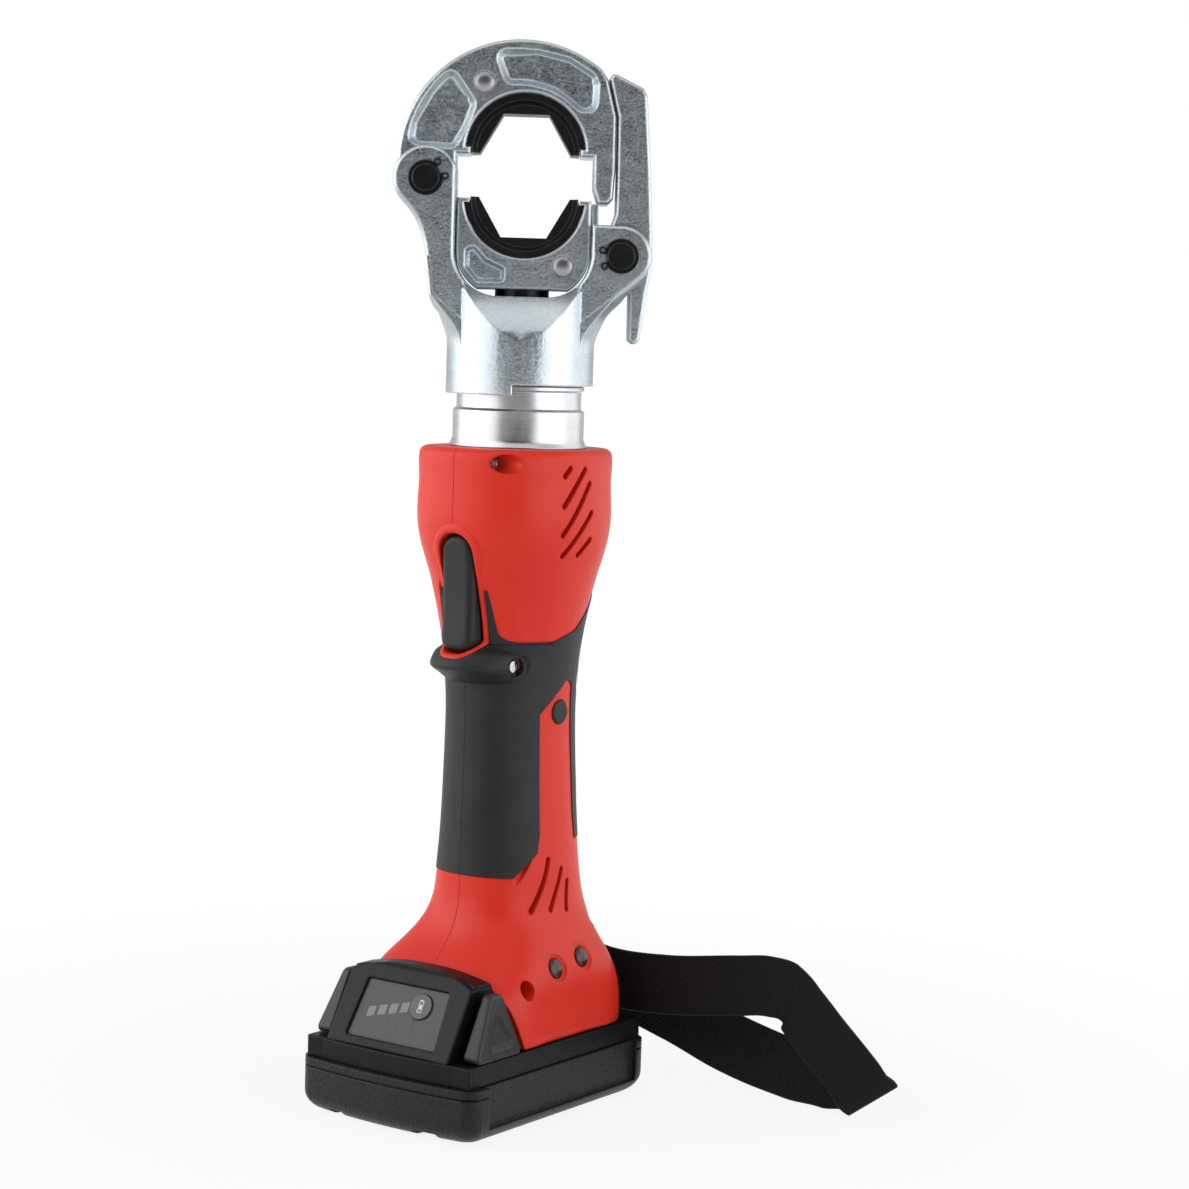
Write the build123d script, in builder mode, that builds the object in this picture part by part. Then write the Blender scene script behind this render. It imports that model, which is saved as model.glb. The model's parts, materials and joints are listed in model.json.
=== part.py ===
"""Battery hydraulic crimping tool as separate pieces in one frame.

Millimetres. +Z runs up the tool's axis and -Y points out of the front of the crimp head.
The origin is where the axis meets the floor under the battery. The handle and the battery
are drawn with the trigger towards -Y and are turned about Z when they are saved.
"""
import os
from math import copysign, cos, pi, radians, sin, tan

from build123d import *

# Fits
RUN = 0.05
SLIDE = 0.3
SHUT = 0.4
SEAM = 0.08

# Turn of the handle and battery under the crimp head, degrees
HANDLE_TURN = -37.0

# Crimp head: heights are above the floor, X is across the jaws
YOKE_HALF = 16.0
JAW_HALF = 10.0
SLOT_HALF = JAW_HALF + SLIDE
HINGE_X, HINGE_Z = -34.8, 331.0
LATCH_X, LATCH_Z = 34.8, 305.6
PIN_R = 5.0
HINGE_EYE_R = 11.6
LATCH_EYE_R = 10.8
ARM_IN = 24.2
U_FLOOR = 290.4
U_CURVE = 16.6
COLLAR_R = 26.4
COLLAR_Z = 259.3
SKIRT_Z = 255.7
SKIRT_FROM = -5.4
SKIRT_SPAN = 94.0
DIE_UP_Z = 340.8
STROKE = 15.2
DIE_GAP = 0.2
DIE_LOW_Z = DIE_UP_Z - STROKE - DIE_GAP
DIE_R = 21.2
DIE_HALF = 8.5
HEX_FLATS = 28.0
LIP_X = 19.4
LIP_H = 2.6
LEDGE = 0.5
BUTTON_R = 3.6
BUTTON_LEN = 6.0
BUTTON_PROUD = 0.7
BUTTON_BORE = 10.5
UP_BUTTON_X, UP_BUTTON_Z = -15.1, 365.4
LOW_BUTTON_X, LOW_BUTTON_Z = 14.4, 301.6
POCKET_DEEP = 2.5
POCKET_SLOPE = 28.0
POST_HALF = 9.0
CARRIER_FLOOR = 293.0
CLIP_T = 1.0
PIN_OVER = 2.2

# Hydraulics along the axis
ROD_R = 9.7
BORE_R = 17.0
PISTON_TOP = 246.0
PISTON_LEN = 18.0
CYLINDER_TOP = 284.0
GLAND_Z = 270.0
SPIGOT_R = 21.2
NECK_R = 23.6
GROOVE_R = 22.4
BARREL_R = 22.6
CYLINDER_FOOT = 205.2
FLANGE_R = 25.4
LAND_R = 23.4
RING_Z, RING_T, RING_IN, RING_R = 266.0, 2.4, 20.2, 22.2
STUD_R, STUD_LEN = 6.0, 9.0
SEAL_T = 3.4
STOP_TURN, STOP_Z, STOP_R = 140.0, 257.4, 1.3

# Handle: height, half width, front, back and squareness of each section
SECTIONS = (
    (27.7, 35.0, -47.0, 35.2, 7.0),
    (38.0, 34.8, -47.0, 35.2, 7.0),
    (46.0, 33.6, -45.5, 34.8, 5.5),
    (54.0, 31.0, -42.0, 33.8, 4.0),
    (61.0, 27.6, -34.0, 32.6, 3.0),
    (70.0, 24.2, -28.4, 31.2, 2.5),
    (85.0, 22.9, -27.0, 29.6, 2.2),
    (110.0, 21.5, -26.3, 28.0, 2.1),
    (142.0, 20.6, -26.0, 26.6, 2.1),
    (158.0, 21.6, -26.6, 26.8, 2.1),
    (174.0, 24.0, -28.2, 28.2, 2.15),
    (190.0, 27.6, -31.6, 31.2, 2.2),
    (204.0, 31.0, -35.4, 34.4, 2.3),
    (216.0, 32.0, -36.6, 35.2, 2.3),
    (237.0, 31.0, -36.0, 34.6, 2.3),
)
BODY_FOOT, BODY_TOP = SECTIONS[0][0], SECTIONS[-1][0]
SECTION_STEP = 11.0
OVAL_POINTS = 20
FOOT_FLOOR = 40.0
WALL = 3.4
RUBBER_IN = 1.5
RUBBER_OUT = 0.35
TOP_ROUND = 3.0
FOOT_NOSE_Y, FOOT_NOSE_Z, FOOT_LEAN = -33.0, 29.0, 0.4

# Soft grip: lowest and highest section, and the sections of the finger lip
GRIP_LOW, GRIP_HIGH = 80.0, 200.0
LIP = (
    (150.5, 20.3, -26.2, 16.0, 2.1),
    (157.5, 21.2, -37.0, 12.0, 2.1),
    (161.0, 22.2, -39.4, 12.0, 2.1),
    (164.2, 22.6, -38.2, 12.0, 2.1),
    (167.5, 22.7, -27.9, 16.0, 2.1),
)

# Trigger and buttons
TRIGGER_W = 15.0
TRIGGER_LOW, TRIGGER_HIGH = 164.8, 206.6
TRIGGER_PIN_Y, TRIGGER_PIN_Z, TRIGGER_PIN_R, TRIGGER_PIN_LEN = -30.4, 200.6, 1.5, 25.0
CHEEK_W, CHEEK_BACK = 26.0, -26.8
RIM = 1.5
SIDE_BUTTON_R, SIDE_BUTTON_OUT, SIDE_BUTTON_IN = 4.5, 21.3, 17.6
SIDE_BUTTON_Y, SIDE_BUTTON_Z = 2.0, 142.5
LENS_R, LENS_LEN = 4.5, 4.4
DISH_R, DISH_DEEP = 7.3, 1.7
LENS_TILT = 20.0
LENSES = ((32.4, -9.4, 52.8), (32.0, 6.6, 54.4))

# Shell screws along X: front or back position and height
SCREWS = ((-30.6, 232.0), (30.6, 228.0), (-20.0, 160.0), (19.6, 152.0), (-28.7, 47.6), (25.6, 64.0))
SCREW_R, SCREW_HEAD_R, SCREW_HEAD_H = 1.5, 3.0, 2.4
SCREW_HEAD_X, SCREW_TIP_X = 11.0, -8.0
BOSS_R = 4.4

# Cooling slots of each shell, end to end
VENT_W = 2.2
VENTS = (((-12.0, 228.0), (-9.5, 230.7)), ((-12.4, 217.4), (-1.5, 230.3)), ((-12.2, 207.2), (1.3, 225.2)),
         ((-10.6, 199.8), (2.4, 214.9)), ((-2.7, 200.0), (2.9, 205.2)))
FOOT_VENTS = (((-12.0, 93.0), (-20.0, 80.6), (-29.0, 75.0)), ((-4.4, 89.6), (-9.0, 78.0), (-13.4, 72.0)),
              ((2.8, 85.4), (-1.0, 77.0), (-4.2, 71.6)), ((6.4, 80.6), (5.6, 75.0), (5.0, 70.6)))

# Drive inside the handle
MOTOR_R, MOTOR_LOW, MOTOR_HIGH = 15.0, 92.0, 140.4
GEAR_HIGH = 176.4
PUMP_R, PUMP_HIGH, PUMP_FLANGE = 15.2, 205.0, 8.0
CAM_ROOM, CAM_R, CAM_OFF, SHAFT_R = 9.0, 6.0, 1.4, 4.0
RIB_T = 2.5
RIBS = (96.0, 132.0, 166.0)
BLADDER_R, BLADDER_LOW, BLADDER_HIGH = 25.5, 210.6, 231.0
BOARD_Z, BOARD_T = 58.4, 1.6

# Battery
PACK_W = 79.4
PACK_FRONT, PACK_BACK = -68.7, 39.3
PACK_CORNER, PACK_ROUND = 9.0, 5.0
SLAB_TOP, RIM_LOW, CASE_TOP, GROOVE_IN = 16.2, 17.0, 19.6, 0.8
CASE_FLOOR = 2.2
PANEL_IN, PANEL_FRONT, PANEL_BACK, PANEL_LOW = 2.0, -58.0, 30.5, 5.0
PLATE_W = 73.0
PLATE_FRONT, PLATE_BACK = -65.5, 35.8
PLATE_TOP, PLATE_ROOF = 27.2, 24.8
RAIL_W, RAIL_HEAD_W = 40.0, 48.0
RAIL_STEP, RAIL_TOP = 31.0, 35.6
RAIL_FRONT, RAIL_BACK = -34.0, 22.0
CELL_R, CELL_LEN, CELL_PITCH, CELL_COUNT = 9.15, 65.0, 18.7, 5
CELL_MID_Y, CELL_Z = -15.0, 11.7
CAP_HALF = 27.0
CAP_FOOT_Y, CAP_SLOPE_Y, CAP_SHOULDER_Z, CAP_CROWN_Z, CAP_SIDE_Z = -60.0, -51.5, 50.5, 55.2, 51.6
PANEL_T = 0.9
GAUGE_BUTTON_X, GAUGE_BUTTON_UP, GAUGE_BUTTON_R, GAUGE_BUTTON_LEN = 10.6, 15.6, 3.6, 3.2
LATCH_IN, LATCH_OUT, LATCH_PUSH = 30.2, 36.9, 2.5
STEM_R, STEM_IN, STEM_BORE_IN = 2.2, 22.0, 12.0
STEM_Y, STEM_Z = -48.0, 37.0
BLADES_X = (-10.0, 0.0, 10.0)
BLADE_T, BLADE_LOW, BLADE_FRONT, BLADE_BACK = 0.8, 32.2, 6.0, 16.0
CASE_SCREWS = ((-30.0, -63.7), (30.0, -63.7), (-30.0, 33.8), (30.0, 33.8))
CASE_SCREW_R, CASE_SCREW_HEAD_R = 1.2, 2.4

# Wrist strap: pin in the back of the foot and stations of the webbing with its width direction
STRAP_W, STRAP_T = 22.5, 1.8
STRAP_PIN_R, STRAP_PIN_Y = 1.8, 30.6
STRAP_Z = 41.0
STRAP_ROOM_X, STRAP_ROOM_Y = 7.2, 26.6
STRAP = (
    ((-3.0, 37.0, STRAP_Z), (0, 0, 1)),
    ((-3.0, 30.6, STRAP_Z), (0, 0, 1)),
    ((-2.1, 28.5, STRAP_Z), (0, 0, 1)),
    ((0.0, 27.6, STRAP_Z), (0, 0, 1)),
    ((2.1, 28.5, STRAP_Z), (0, 0, 1)),
    ((3.0, 30.6, STRAP_Z), (0, 0, 1)),
    ((3.4, 37.4, STRAP_Z), (0, 0, 1)),
    ((8.0, 42.0, 40.0), (0, 0, 1)),
    ((18.0, 43.8, 38.2), (0, 0, 1)),
    ((41.8, 44.6, 38.8), (0.01, 0, 1)),
    ((72.8, 46.0, 43.1), (0, 0, 1)),
    ((86.0, 46.5, 44.8), (0.06, 0, 1)),
    ((94.6, 46.8, 43.6), (0.27, 0, 0.96)),
    ((98.4, 47.2, 39.0), (0.56, 0.09, 0.82)),
    ((105.0, 48.5, 31.4), (0.74, 0.12, 0.66)),
    ((118.6, 52.0, 16.6), (0.83, 0.17, 0.52)),
    ((124.4, 53.2, 9.8), (0.79, 0.18, 0.59)),
    ((125.6, 54.6, 8.6), (0.79, 0.18, 0.59)),
    ((123.6, 56.0, 9.2), (0.77, 0.2, 0.6)),
    ((111.0, 57.8, 10.2), (0.6, 0.3, 0.74)),
    ((92.4, 59.4, 11.6), (0.42, 0.35, 0.84)),
    ((58.5, 61.5, 17.2), (0.25, 0.3, 0.92)),
    ((35.0, 59.6, 25.2), (0.15, 0.25, 0.95)),
    ((13.0, 52.6, 33.4), (0.05, 0.1, 1)),
    ((-2.0, 45.4, 38.8), (0, 0, 1)),
    ((-5.2, 37.2, STRAP_Z), (0, 0, 1)),
)

os.makedirs("parts", exist_ok=True)


def save(piece, name, turned=False):
    """Label one finished piece, turn it with the handle if it belongs there, and write it."""
    piece = piece.rotate(Axis.Z, HANDLE_TURN) if turned else piece
    piece.label = name
    export_step(piece, f"parts/{name}.step")


def rod(start, end, radius):
    """Round bar between two points."""
    way = Vector(*end) - Vector(*start)
    with BuildPart() as bar:
        with BuildSketch(Plane(start, z_dir=way)):
            Circle(radius)
        extrude(amount=way.length)
    return bar.part


def block(low, high):
    """Rectangular block between two opposite corners."""
    size = [b - a for a, b in zip(low, high)]
    with BuildPart() as bar:
        with Locations(tuple((a + b) / 2 for a, b in zip(low, high))):
            Box(*size)
    return bar.part


def coil(mean_r, wire_r, turns, length, place):
    """Compression spring with closed room for its wire, along the Z axis of the given plane."""
    rise = length - 2 * wire_r
    with BuildPart() as spring:
        with BuildLine():
            course = Helix(pitch=rise / turns, height=rise, radius=mean_r)
        with BuildSketch(Plane(origin=course @ 0, z_dir=course % 0)):
            Circle(wire_r)
        sweep(path=course, is_frenet=True)
    return spring.part.moved(Location(place) * Location((0, 0, wire_r)))


def slope(table, index, column):
    """Slope of one column of sections at a row, flat at the ends and at each turning point."""
    if index in (0, len(table) - 1):
        return 0
    before = (table[index][column] - table[index - 1][column]) / (table[index][0] - table[index - 1][0])
    after = (table[index + 1][column] - table[index][column]) / (table[index + 1][0] - table[index][0])
    return 0 if before * after <= 0 else 2 * before * after / (before + after)


def section_at(table, height):
    """Half width, front, back and squareness at a height, on a cubic that never overshoots."""
    index = max(row for row in range(len(table) - 1) if table[row][0] <= height + 1e-6)
    low, high = table[index], table[index + 1]
    rise = high[0] - low[0]
    t = (height - low[0]) / rise
    values = []
    for column in range(1, 5):
        start = slope(table, index, column) * rise
        end = slope(table, index + 1, column) * rise
        gain = high[column] - low[column]
        values.append(low[column] + t * start + t ** 2 * (3 * gain - 2 * start - end) + t ** 3 * (start + end - 2 * gain))
    return values


def oval(section, grow):
    """Points of one section, a square-cornered oval grown by an offset."""
    half, front, back, power = section
    wide, deep = half + grow, (back - front) / 2 + grow
    points = []
    for step in range(OVAL_POINTS):
        across, along = sin(2 * pi * step / OVAL_POINTS), cos(2 * pi * step / OVAL_POINTS)
        reach = (abs(across) ** power + abs(along) ** power) ** (-1 / power)
        points.append((across * reach * wide, (front + back) / 2 + along * reach * deep))
    return points


def skin(table, low, high, grow):
    """Solid through evenly spaced sections between two heights."""
    count = max(4, round((high - low) / SECTION_STEP))
    with BuildPart() as body:
        for index in range(count + 1):
            height = low + (high - low) * index / count
            with BuildSketch(Plane.XY.offset(height)):
                with BuildLine():
                    Spline(oval(section_at(table, height), grow), periodic=True)
                make_face()
        loft()
    return body.part


# Yoke: plates with two eyes, cone and collar, cut by the U, the slots and the bore
def u_outline(gap, top):
    """Half outlines of the U, drawn inside by a gap, as a closed wire up to a height."""
    wide = ARM_IN - gap
    floor = U_FLOOR + gap
    flat = 9.5
    drop = 0.293
    with BuildLine() as wire:
        left = ThreePointArc((-wide, floor + U_CURVE),
                             (-wide + drop * (wide - flat), floor + drop * U_CURVE), (-flat, floor))
        right = ThreePointArc((flat, floor), (wide - drop * (wide - flat), floor + drop * U_CURVE),
                              (wide, floor + U_CURVE))
        Line(left @ 1, right @ 0)
        Polyline(right @ 1, (wide, top), (-wide, top), left @ 0)
    return wire.line


EYE_LEFT = (HINGE_X - HINGE_EYE_R * sin(pi / 4), HINGE_Z - HINGE_EYE_R * cos(pi / 4))
EYE_WALL = (-ARM_IN, HINGE_Z + (HINGE_EYE_R ** 2 - (HINGE_X + ARM_IN) ** 2) ** 0.5)
EYE_LOW = (LATCH_X + LATCH_EYE_R * cos(radians(48)), LATCH_Z - LATCH_EYE_R * sin(radians(48)))
LEDGE_Z = LATCH_Z + LATCH_EYE_R
CONE_Z = 281.0
SLOPE_TOP = 294.0
RIM_ROUND = 1.6
SLOT_X = 26.6
LUG_R = 10.4
LUG_ROOM = 13.6
JAW_FOOT = 324.0
LATCH_SPRING_R = 7.0


def upright(turn):
    """Plane through the tool's axis, turned from the front (-Y) towards +X by an angle."""
    way = radians(turn - 90)
    return Plane((0, 0, 0), x_dir=(cos(way), sin(way), 0), z_dir=(sin(way), -cos(way), 0))


with BuildPart() as collar:
    with BuildSketch(Plane.XY.offset(SKIRT_Z)):
        Circle(COLLAR_R)
    extrude(amount=SLOPE_TOP - SKIRT_Z)
    with BuildSketch(Plane.YZ):
        with BuildLine():
            Polyline((-COLLAR_R - 1, 250), (-COLLAR_R - 1, 273.5), (-20.2, U_FLOOR), (-YOKE_HALF + 2, SLOPE_TOP),
                     (YOKE_HALF - 2, SLOPE_TOP), (20.2, U_FLOOR), (COLLAR_R + 1, 273.5), (COLLAR_R + 1, 250),
                     close=True)
        make_face()
    extrude(amount=60, both=True, mode=Mode.INTERSECT)
    with BuildSketch(Plane.XZ):
        with BuildLine():
            add(u_outline(0, 360))
        make_face()
    extrude(amount=40, both=True, mode=Mode.SUBTRACT)

with BuildPart() as yoke:
    with BuildSketch(Plane.XZ):
        with BuildLine():
            Spline((-COLLAR_R, 276.5), (-31.2, 286.0), (-33.4, 297.0), (-35.9, 311.4), EYE_LEFT,
                   tangents=[(0, 1), (-1, 1)])
            ThreePointArc(EYE_LEFT, (HINGE_X - 4, HINGE_Z + (HINGE_EYE_R ** 2 - 16) ** 0.5), EYE_WALL)
            Polyline(EYE_WALL, (ARM_IN, LEDGE_Z), (LATCH_X, LEDGE_Z))
            ThreePointArc((LATCH_X, LEDGE_Z), (LATCH_X + LATCH_EYE_R, LATCH_Z), EYE_LOW)
            Spline(EYE_LOW, (37.6, 292.0), (30.2, 284.6), (COLLAR_R, 276.5), tangents=[(-0.743, -0.669), (0, -1)])
            Polyline((COLLAR_R, 276.5), (COLLAR_R, 270), (-COLLAR_R, 270), (-COLLAR_R, 276.5))
        make_face()
    extrude(amount=YOKE_HALF, both=True)
    with BuildSketch(Plane.XZ):
        with BuildLine():
            Polyline((0, 265), (COLLAR_R, 265), (COLLAR_R, CONE_Z), (COLLAR_R + 26, CONE_Z + 24),
                     (70, CONE_Z + 24), (70, 350), (0, 350), close=True)
        make_face()
    revolve(axis=Axis.Z, mode=Mode.INTERSECT)
    with BuildSketch(Plane.XZ):
        with BuildLine():
            add(u_outline(0, 360))
        make_face()
    extrude(amount=40, both=True, mode=Mode.SUBTRACT)
    rims = yoke.edges().filter_by_position(Axis.Y, -YOKE_HALF - 0.01, -YOKE_HALF + 0.01)
    rims += yoke.edges().filter_by_position(Axis.Y, YOKE_HALF - 0.01, YOKE_HALF + 0.01)
    fillet(rims.filter_by_position(Axis.Z, CONE_Z + 0.5, 350), RIM_ROUND)
    add(collar.part)
    # Post under the leg of the jaw
    add(block((ARM_IN, -POST_HALF, LATCH_Z), (SLOT_X, POST_HALF, JAW_FOOT - RUN)))
    # Slot for the jaw's lug
    with BuildSketch(Plane.XZ):
        with Locations((HINGE_X, HINGE_Z)):
            Circle(LUG_ROOM)
        with Locations((HINGE_X - 6, HINGE_Z + 15)):
            Rectangle(50, 30)
    extrude(amount=SLOT_HALF, both=True, mode=Mode.SUBTRACT)
    # Slot for the latch lever
    with BuildSketch(Plane.XZ):
        with Locations((SLOT_X + 20, 295)):
            Rectangle(40, 60)
    extrude(amount=SLOT_HALF, both=True, mode=Mode.SUBTRACT)
    # Pin bores
    with BuildSketch(Plane.XZ):
        with Locations((HINGE_X, HINGE_Z), (LATCH_X, LATCH_Z)):
            Circle(PIN_R + 0.02)
    extrude(amount=30, both=True, mode=Mode.SUBTRACT)
    # Bore for the cylinder, groove for the swivel ring and hole for the ram
    with BuildSketch(Plane.XZ):
        with BuildLine():
            Polyline((0, SKIRT_Z - 1), (LAND_R + SLIDE, SKIRT_Z - 1), (LAND_R + SLIDE, COLLAR_Z),
                     (SPIGOT_R + RUN, COLLAR_Z), (SPIGOT_R + RUN, RING_Z - RUN), (RING_R + RUN, RING_Z - RUN),
                     (RING_R + RUN, RING_Z + RING_T + RUN), (SPIGOT_R + RUN, RING_Z + RING_T + RUN),
                     (SPIGOT_R + RUN, CYLINDER_TOP + 0.3), (ROD_R + RUN, CYLINDER_TOP + 0.3),
                     (ROD_R + RUN, U_FLOOR + 1), (0, U_FLOOR + 1), close=True)
        make_face()
    revolve(axis=Axis.Z, mode=Mode.SUBTRACT)
    # Room for the stop pin, all round but the skirt
    with BuildSketch(upright(SKIRT_FROM)):
        with Locations((COLLAR_R, (SKIRT_Z + COLLAR_Z) / 2 - 1)):
            Rectangle(10, COLLAR_Z - SKIRT_Z + 2)
    revolve(axis=Axis.Z, revolution_arc=360 - SKIRT_SPAN, mode=Mode.SUBTRACT)
save(yoke.part, "head_yoke")


# Pins of the head and their retaining rings
def clip(x, z, opening):
    """Pair of retaining rings outside the yoke, open towards an angle."""
    with BuildPart() as pair:
        for side in (-1, 1):
            face = side * (YOKE_HALF + 0.05)
            with BuildSketch(Plane((x, face, z), x_dir=(1, 0, 0), z_dir=(0, side, 0))):
                turn = opening * -side
                Circle(PIN_R + 1.15)
                with PolarLocations(PIN_R + 1.9, 2, turn - 24, 48, rotate=False, endpoint=True):
                    Circle(1.35)
                Circle(PIN_R - 0.4, mode=Mode.SUBTRACT)
                with PolarLocations(PIN_R + 1.9, 2, turn - 24, 48, rotate=False, endpoint=True):
                    Circle(0.65, mode=Mode.SUBTRACT)
                with PolarLocations(PIN_R, 1, turn, 0):
                    Rectangle(8, 2.6, mode=Mode.SUBTRACT)
            extrude(amount=CLIP_T)
    return pair.part


def head_pin(x, z):
    """Pin through both eyes with a groove for a ring at each end."""
    reach = YOKE_HALF + PIN_OVER
    with BuildPart() as pin:
        with BuildSketch(Plane((x, -reach, z), x_dir=(1, 0, 0), z_dir=(0, 1, 0))):
            Circle(PIN_R)
        extrude(amount=2 * reach)
        chamfer(pin.edges(), 0.5)
        for side in (-1, 1):
            with BuildSketch(Plane((x, side * YOKE_HALF, z), x_dir=(1, 0, 0), z_dir=(0, side, 0))):
                Circle(PIN_R + 1)
                Circle(PIN_R - 0.42, mode=Mode.SUBTRACT)
            extrude(amount=CLIP_T + 0.1, mode=Mode.SUBTRACT)
    return pin.part


save(head_pin(HINGE_X, HINGE_Z), "hinge_pin")
save(head_pin(LATCH_X, LATCH_Z), "latch_pin")
save(clip(HINGE_X, HINGE_Z, 30), "hinge_pin_clips")
save(clip(LATCH_X, LATCH_Z, 188), "latch_pin_clips")


# Upper jaw: arch with a lug at the left, a leg at the right and a round seat for its die
def pocket(points, round_r):
    """Pockets of one outline in both faces of a plate, as solids to cut away."""
    with BuildPart() as pair:
        for side in (-1, 1):
            with BuildSketch(Plane((0, side * JAW_HALF, 0), x_dir=(1, 0, 0), z_dir=(0, side, 0))):
                flip = -side
                with BuildLine():
                    Polyline([(x, z * flip) for x, z in points], close=True)
                make_face()
                fillet(vertices(), round_r)
            extrude(amount=-POCKET_DEEP, taper=POCKET_SLOPE)
    return pair.part


SEAT_R = DIE_R + 0.1
LIP_TOP = DIE_UP_Z - LEDGE + LIP_H
SEAT_X = (SEAT_R ** 2 - (LIP_TOP - DIE_UP_Z) ** 2) ** 0.5
LUG_LEFT = HINGE_X - LUG_R
LUG_RIGHT = HINGE_X + LUG_R

with BuildPart() as jaw:
    with BuildSketch(Plane.XZ):
        with BuildLine():
            ThreePointArc((-45.0, 341.0), (-4.5, 380.6), (26.2, 371.0))
            Polyline((26.2, 371.0), (28.6, 367.6), (31.8, 354.7), (32.0, 336.0), (31.4, 326.0), (29.6, JAW_FOOT),
                     (26.0, JAW_FOOT), (ARM_IN, 329.6), (ARM_IN, DIE_UP_Z - LEDGE), (LIP_X, DIE_UP_Z - LEDGE),
                     (LIP_X, LIP_TOP), (SEAT_X, LIP_TOP))
            ThreePointArc((SEAT_X, LIP_TOP), (0, DIE_UP_Z + SEAT_R), (-SEAT_X, LIP_TOP))
            Polyline((-SEAT_X, LIP_TOP), (-LIP_X, LIP_TOP), (-LIP_X, DIE_UP_Z - LEDGE),
                     (LUG_RIGHT, DIE_UP_Z - LEDGE), (LUG_RIGHT, HINGE_Z))
            ThreePointArc((LUG_RIGHT, HINGE_Z), (HINGE_X, HINGE_Z - LUG_R), (LUG_LEFT, HINGE_Z))
            Line((LUG_LEFT, HINGE_Z), (-45.0, 341.0))
        make_face()
        fillet(vertices().filter_by_position(Axis.X, 26, 28.7).filter_by_position(Axis.Y, 366, 372), 1.8)
    extrude(amount=JAW_HALF, both=True)
    rims = jaw.edges().filter_by_position(Axis.Y, -JAW_HALF - 0.01, -JAW_HALF + 0.01)
    rims += jaw.edges().filter_by_position(Axis.Y, JAW_HALF - 0.01, JAW_HALF + 0.01)
    chamfer(rims, 0.8)
    add(pocket([(-9.6, 376.2), (3.5, 377.2), (14.9, 374.8), (24.4, 369.0), (24.5, 357.6), (20.0, 355.6),
                (9.4, 363.3), (0.0, 365.8), (-7.5, 365.8)], 2.6), mode=Mode.SUBTRACT)
    add(pocket([(-28.2, 368.0), (-19.2, 360.6), (-20.0, 355.0), (-27.0, 342.4), (-40.4, 342.8), (-40.4, 350.8),
                (-35.2, 360.0)], 2.4), mode=Mode.SUBTRACT)
    with BuildSketch(Plane.XZ):
        with Locations((HINGE_X, HINGE_Z)):
            Circle(PIN_R + RUN)
    extrude(amount=30, both=True, mode=Mode.SUBTRACT)
    add(rod((UP_BUTTON_X, -20, UP_BUTTON_Z), (UP_BUTTON_X, BUTTON_BORE - JAW_HALF, UP_BUTTON_Z), BUTTON_R + RUN),
        mode=Mode.SUBTRACT)
save(jaw.part, "upper_jaw")


# Dies: half discs with half a hexagon, belled at both faces and notched for the lips
def die(centre, up):
    """One die half above (up = 1) or below (up = -1) its meeting plane."""
    with BuildPart() as half:
        with BuildSketch(Plane.XZ):
            with Locations((0, centre)):
                Circle(DIE_R)
                RegularPolygon(HEX_FLATS / 2, 6, major_radius=False, mode=Mode.SUBTRACT)
            with Locations((0, centre - up * 30)):
                Rectangle(80, 60, mode=Mode.SUBTRACT)
            for side in (-1, 1):
                with Locations((side * (LIP_X - SLIDE + 5), centre + up * (LIP_H - LEDGE + SLIDE - 5))):
                    Rectangle(10, 10, mode=Mode.SUBTRACT)
        extrude(amount=DIE_HALF, both=True)
        for side in (-1, 1):
            with BuildSketch(Plane((0, side * DIE_HALF, centre), z_dir=(0, side, 0))):
                Circle(DIE_R - 2.3)
            extrude(amount=-2.2, taper=35, mode=Mode.SUBTRACT)
    return half.part


save(die(DIE_UP_Z, 1), "upper_die")
save(die(DIE_LOW_Z, -1), "lower_die")


# Die release buttons, drawn at the front face and sprung outwards
def die_button(x, z):
    """Round button with a domed head."""
    front = -JAW_HALF - BUTTON_PROUD
    with BuildPart() as button:
        add(rod((x, front, z), (x, front + BUTTON_LEN, z), BUTTON_R))
        fillet(button.edges().sort_by(Axis.Y)[0], 0.6)
    return button.part


def die_spring(x, z):
    """Spring between a die button and the floor of its bore."""
    start = -JAW_HALF - BUTTON_PROUD + BUTTON_LEN + 0.05
    return coil(2.3, 0.45, 3, BUTTON_BORE - JAW_HALF - start - 0.05, Plane((x, start, z), z_dir=(0, 1, 0)))


save(die_button(UP_BUTTON_X, UP_BUTTON_Z), "upper_die_button")
save(die_button(LOW_BUTTON_X, LOW_BUTTON_Z), "lower_die_button")
save(die_spring(UP_BUTTON_X, UP_BUTTON_Z), "upper_button_spring")
save(die_spring(LOW_BUTTON_X, LOW_BUTTON_Z), "lower_button_spring")

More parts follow.
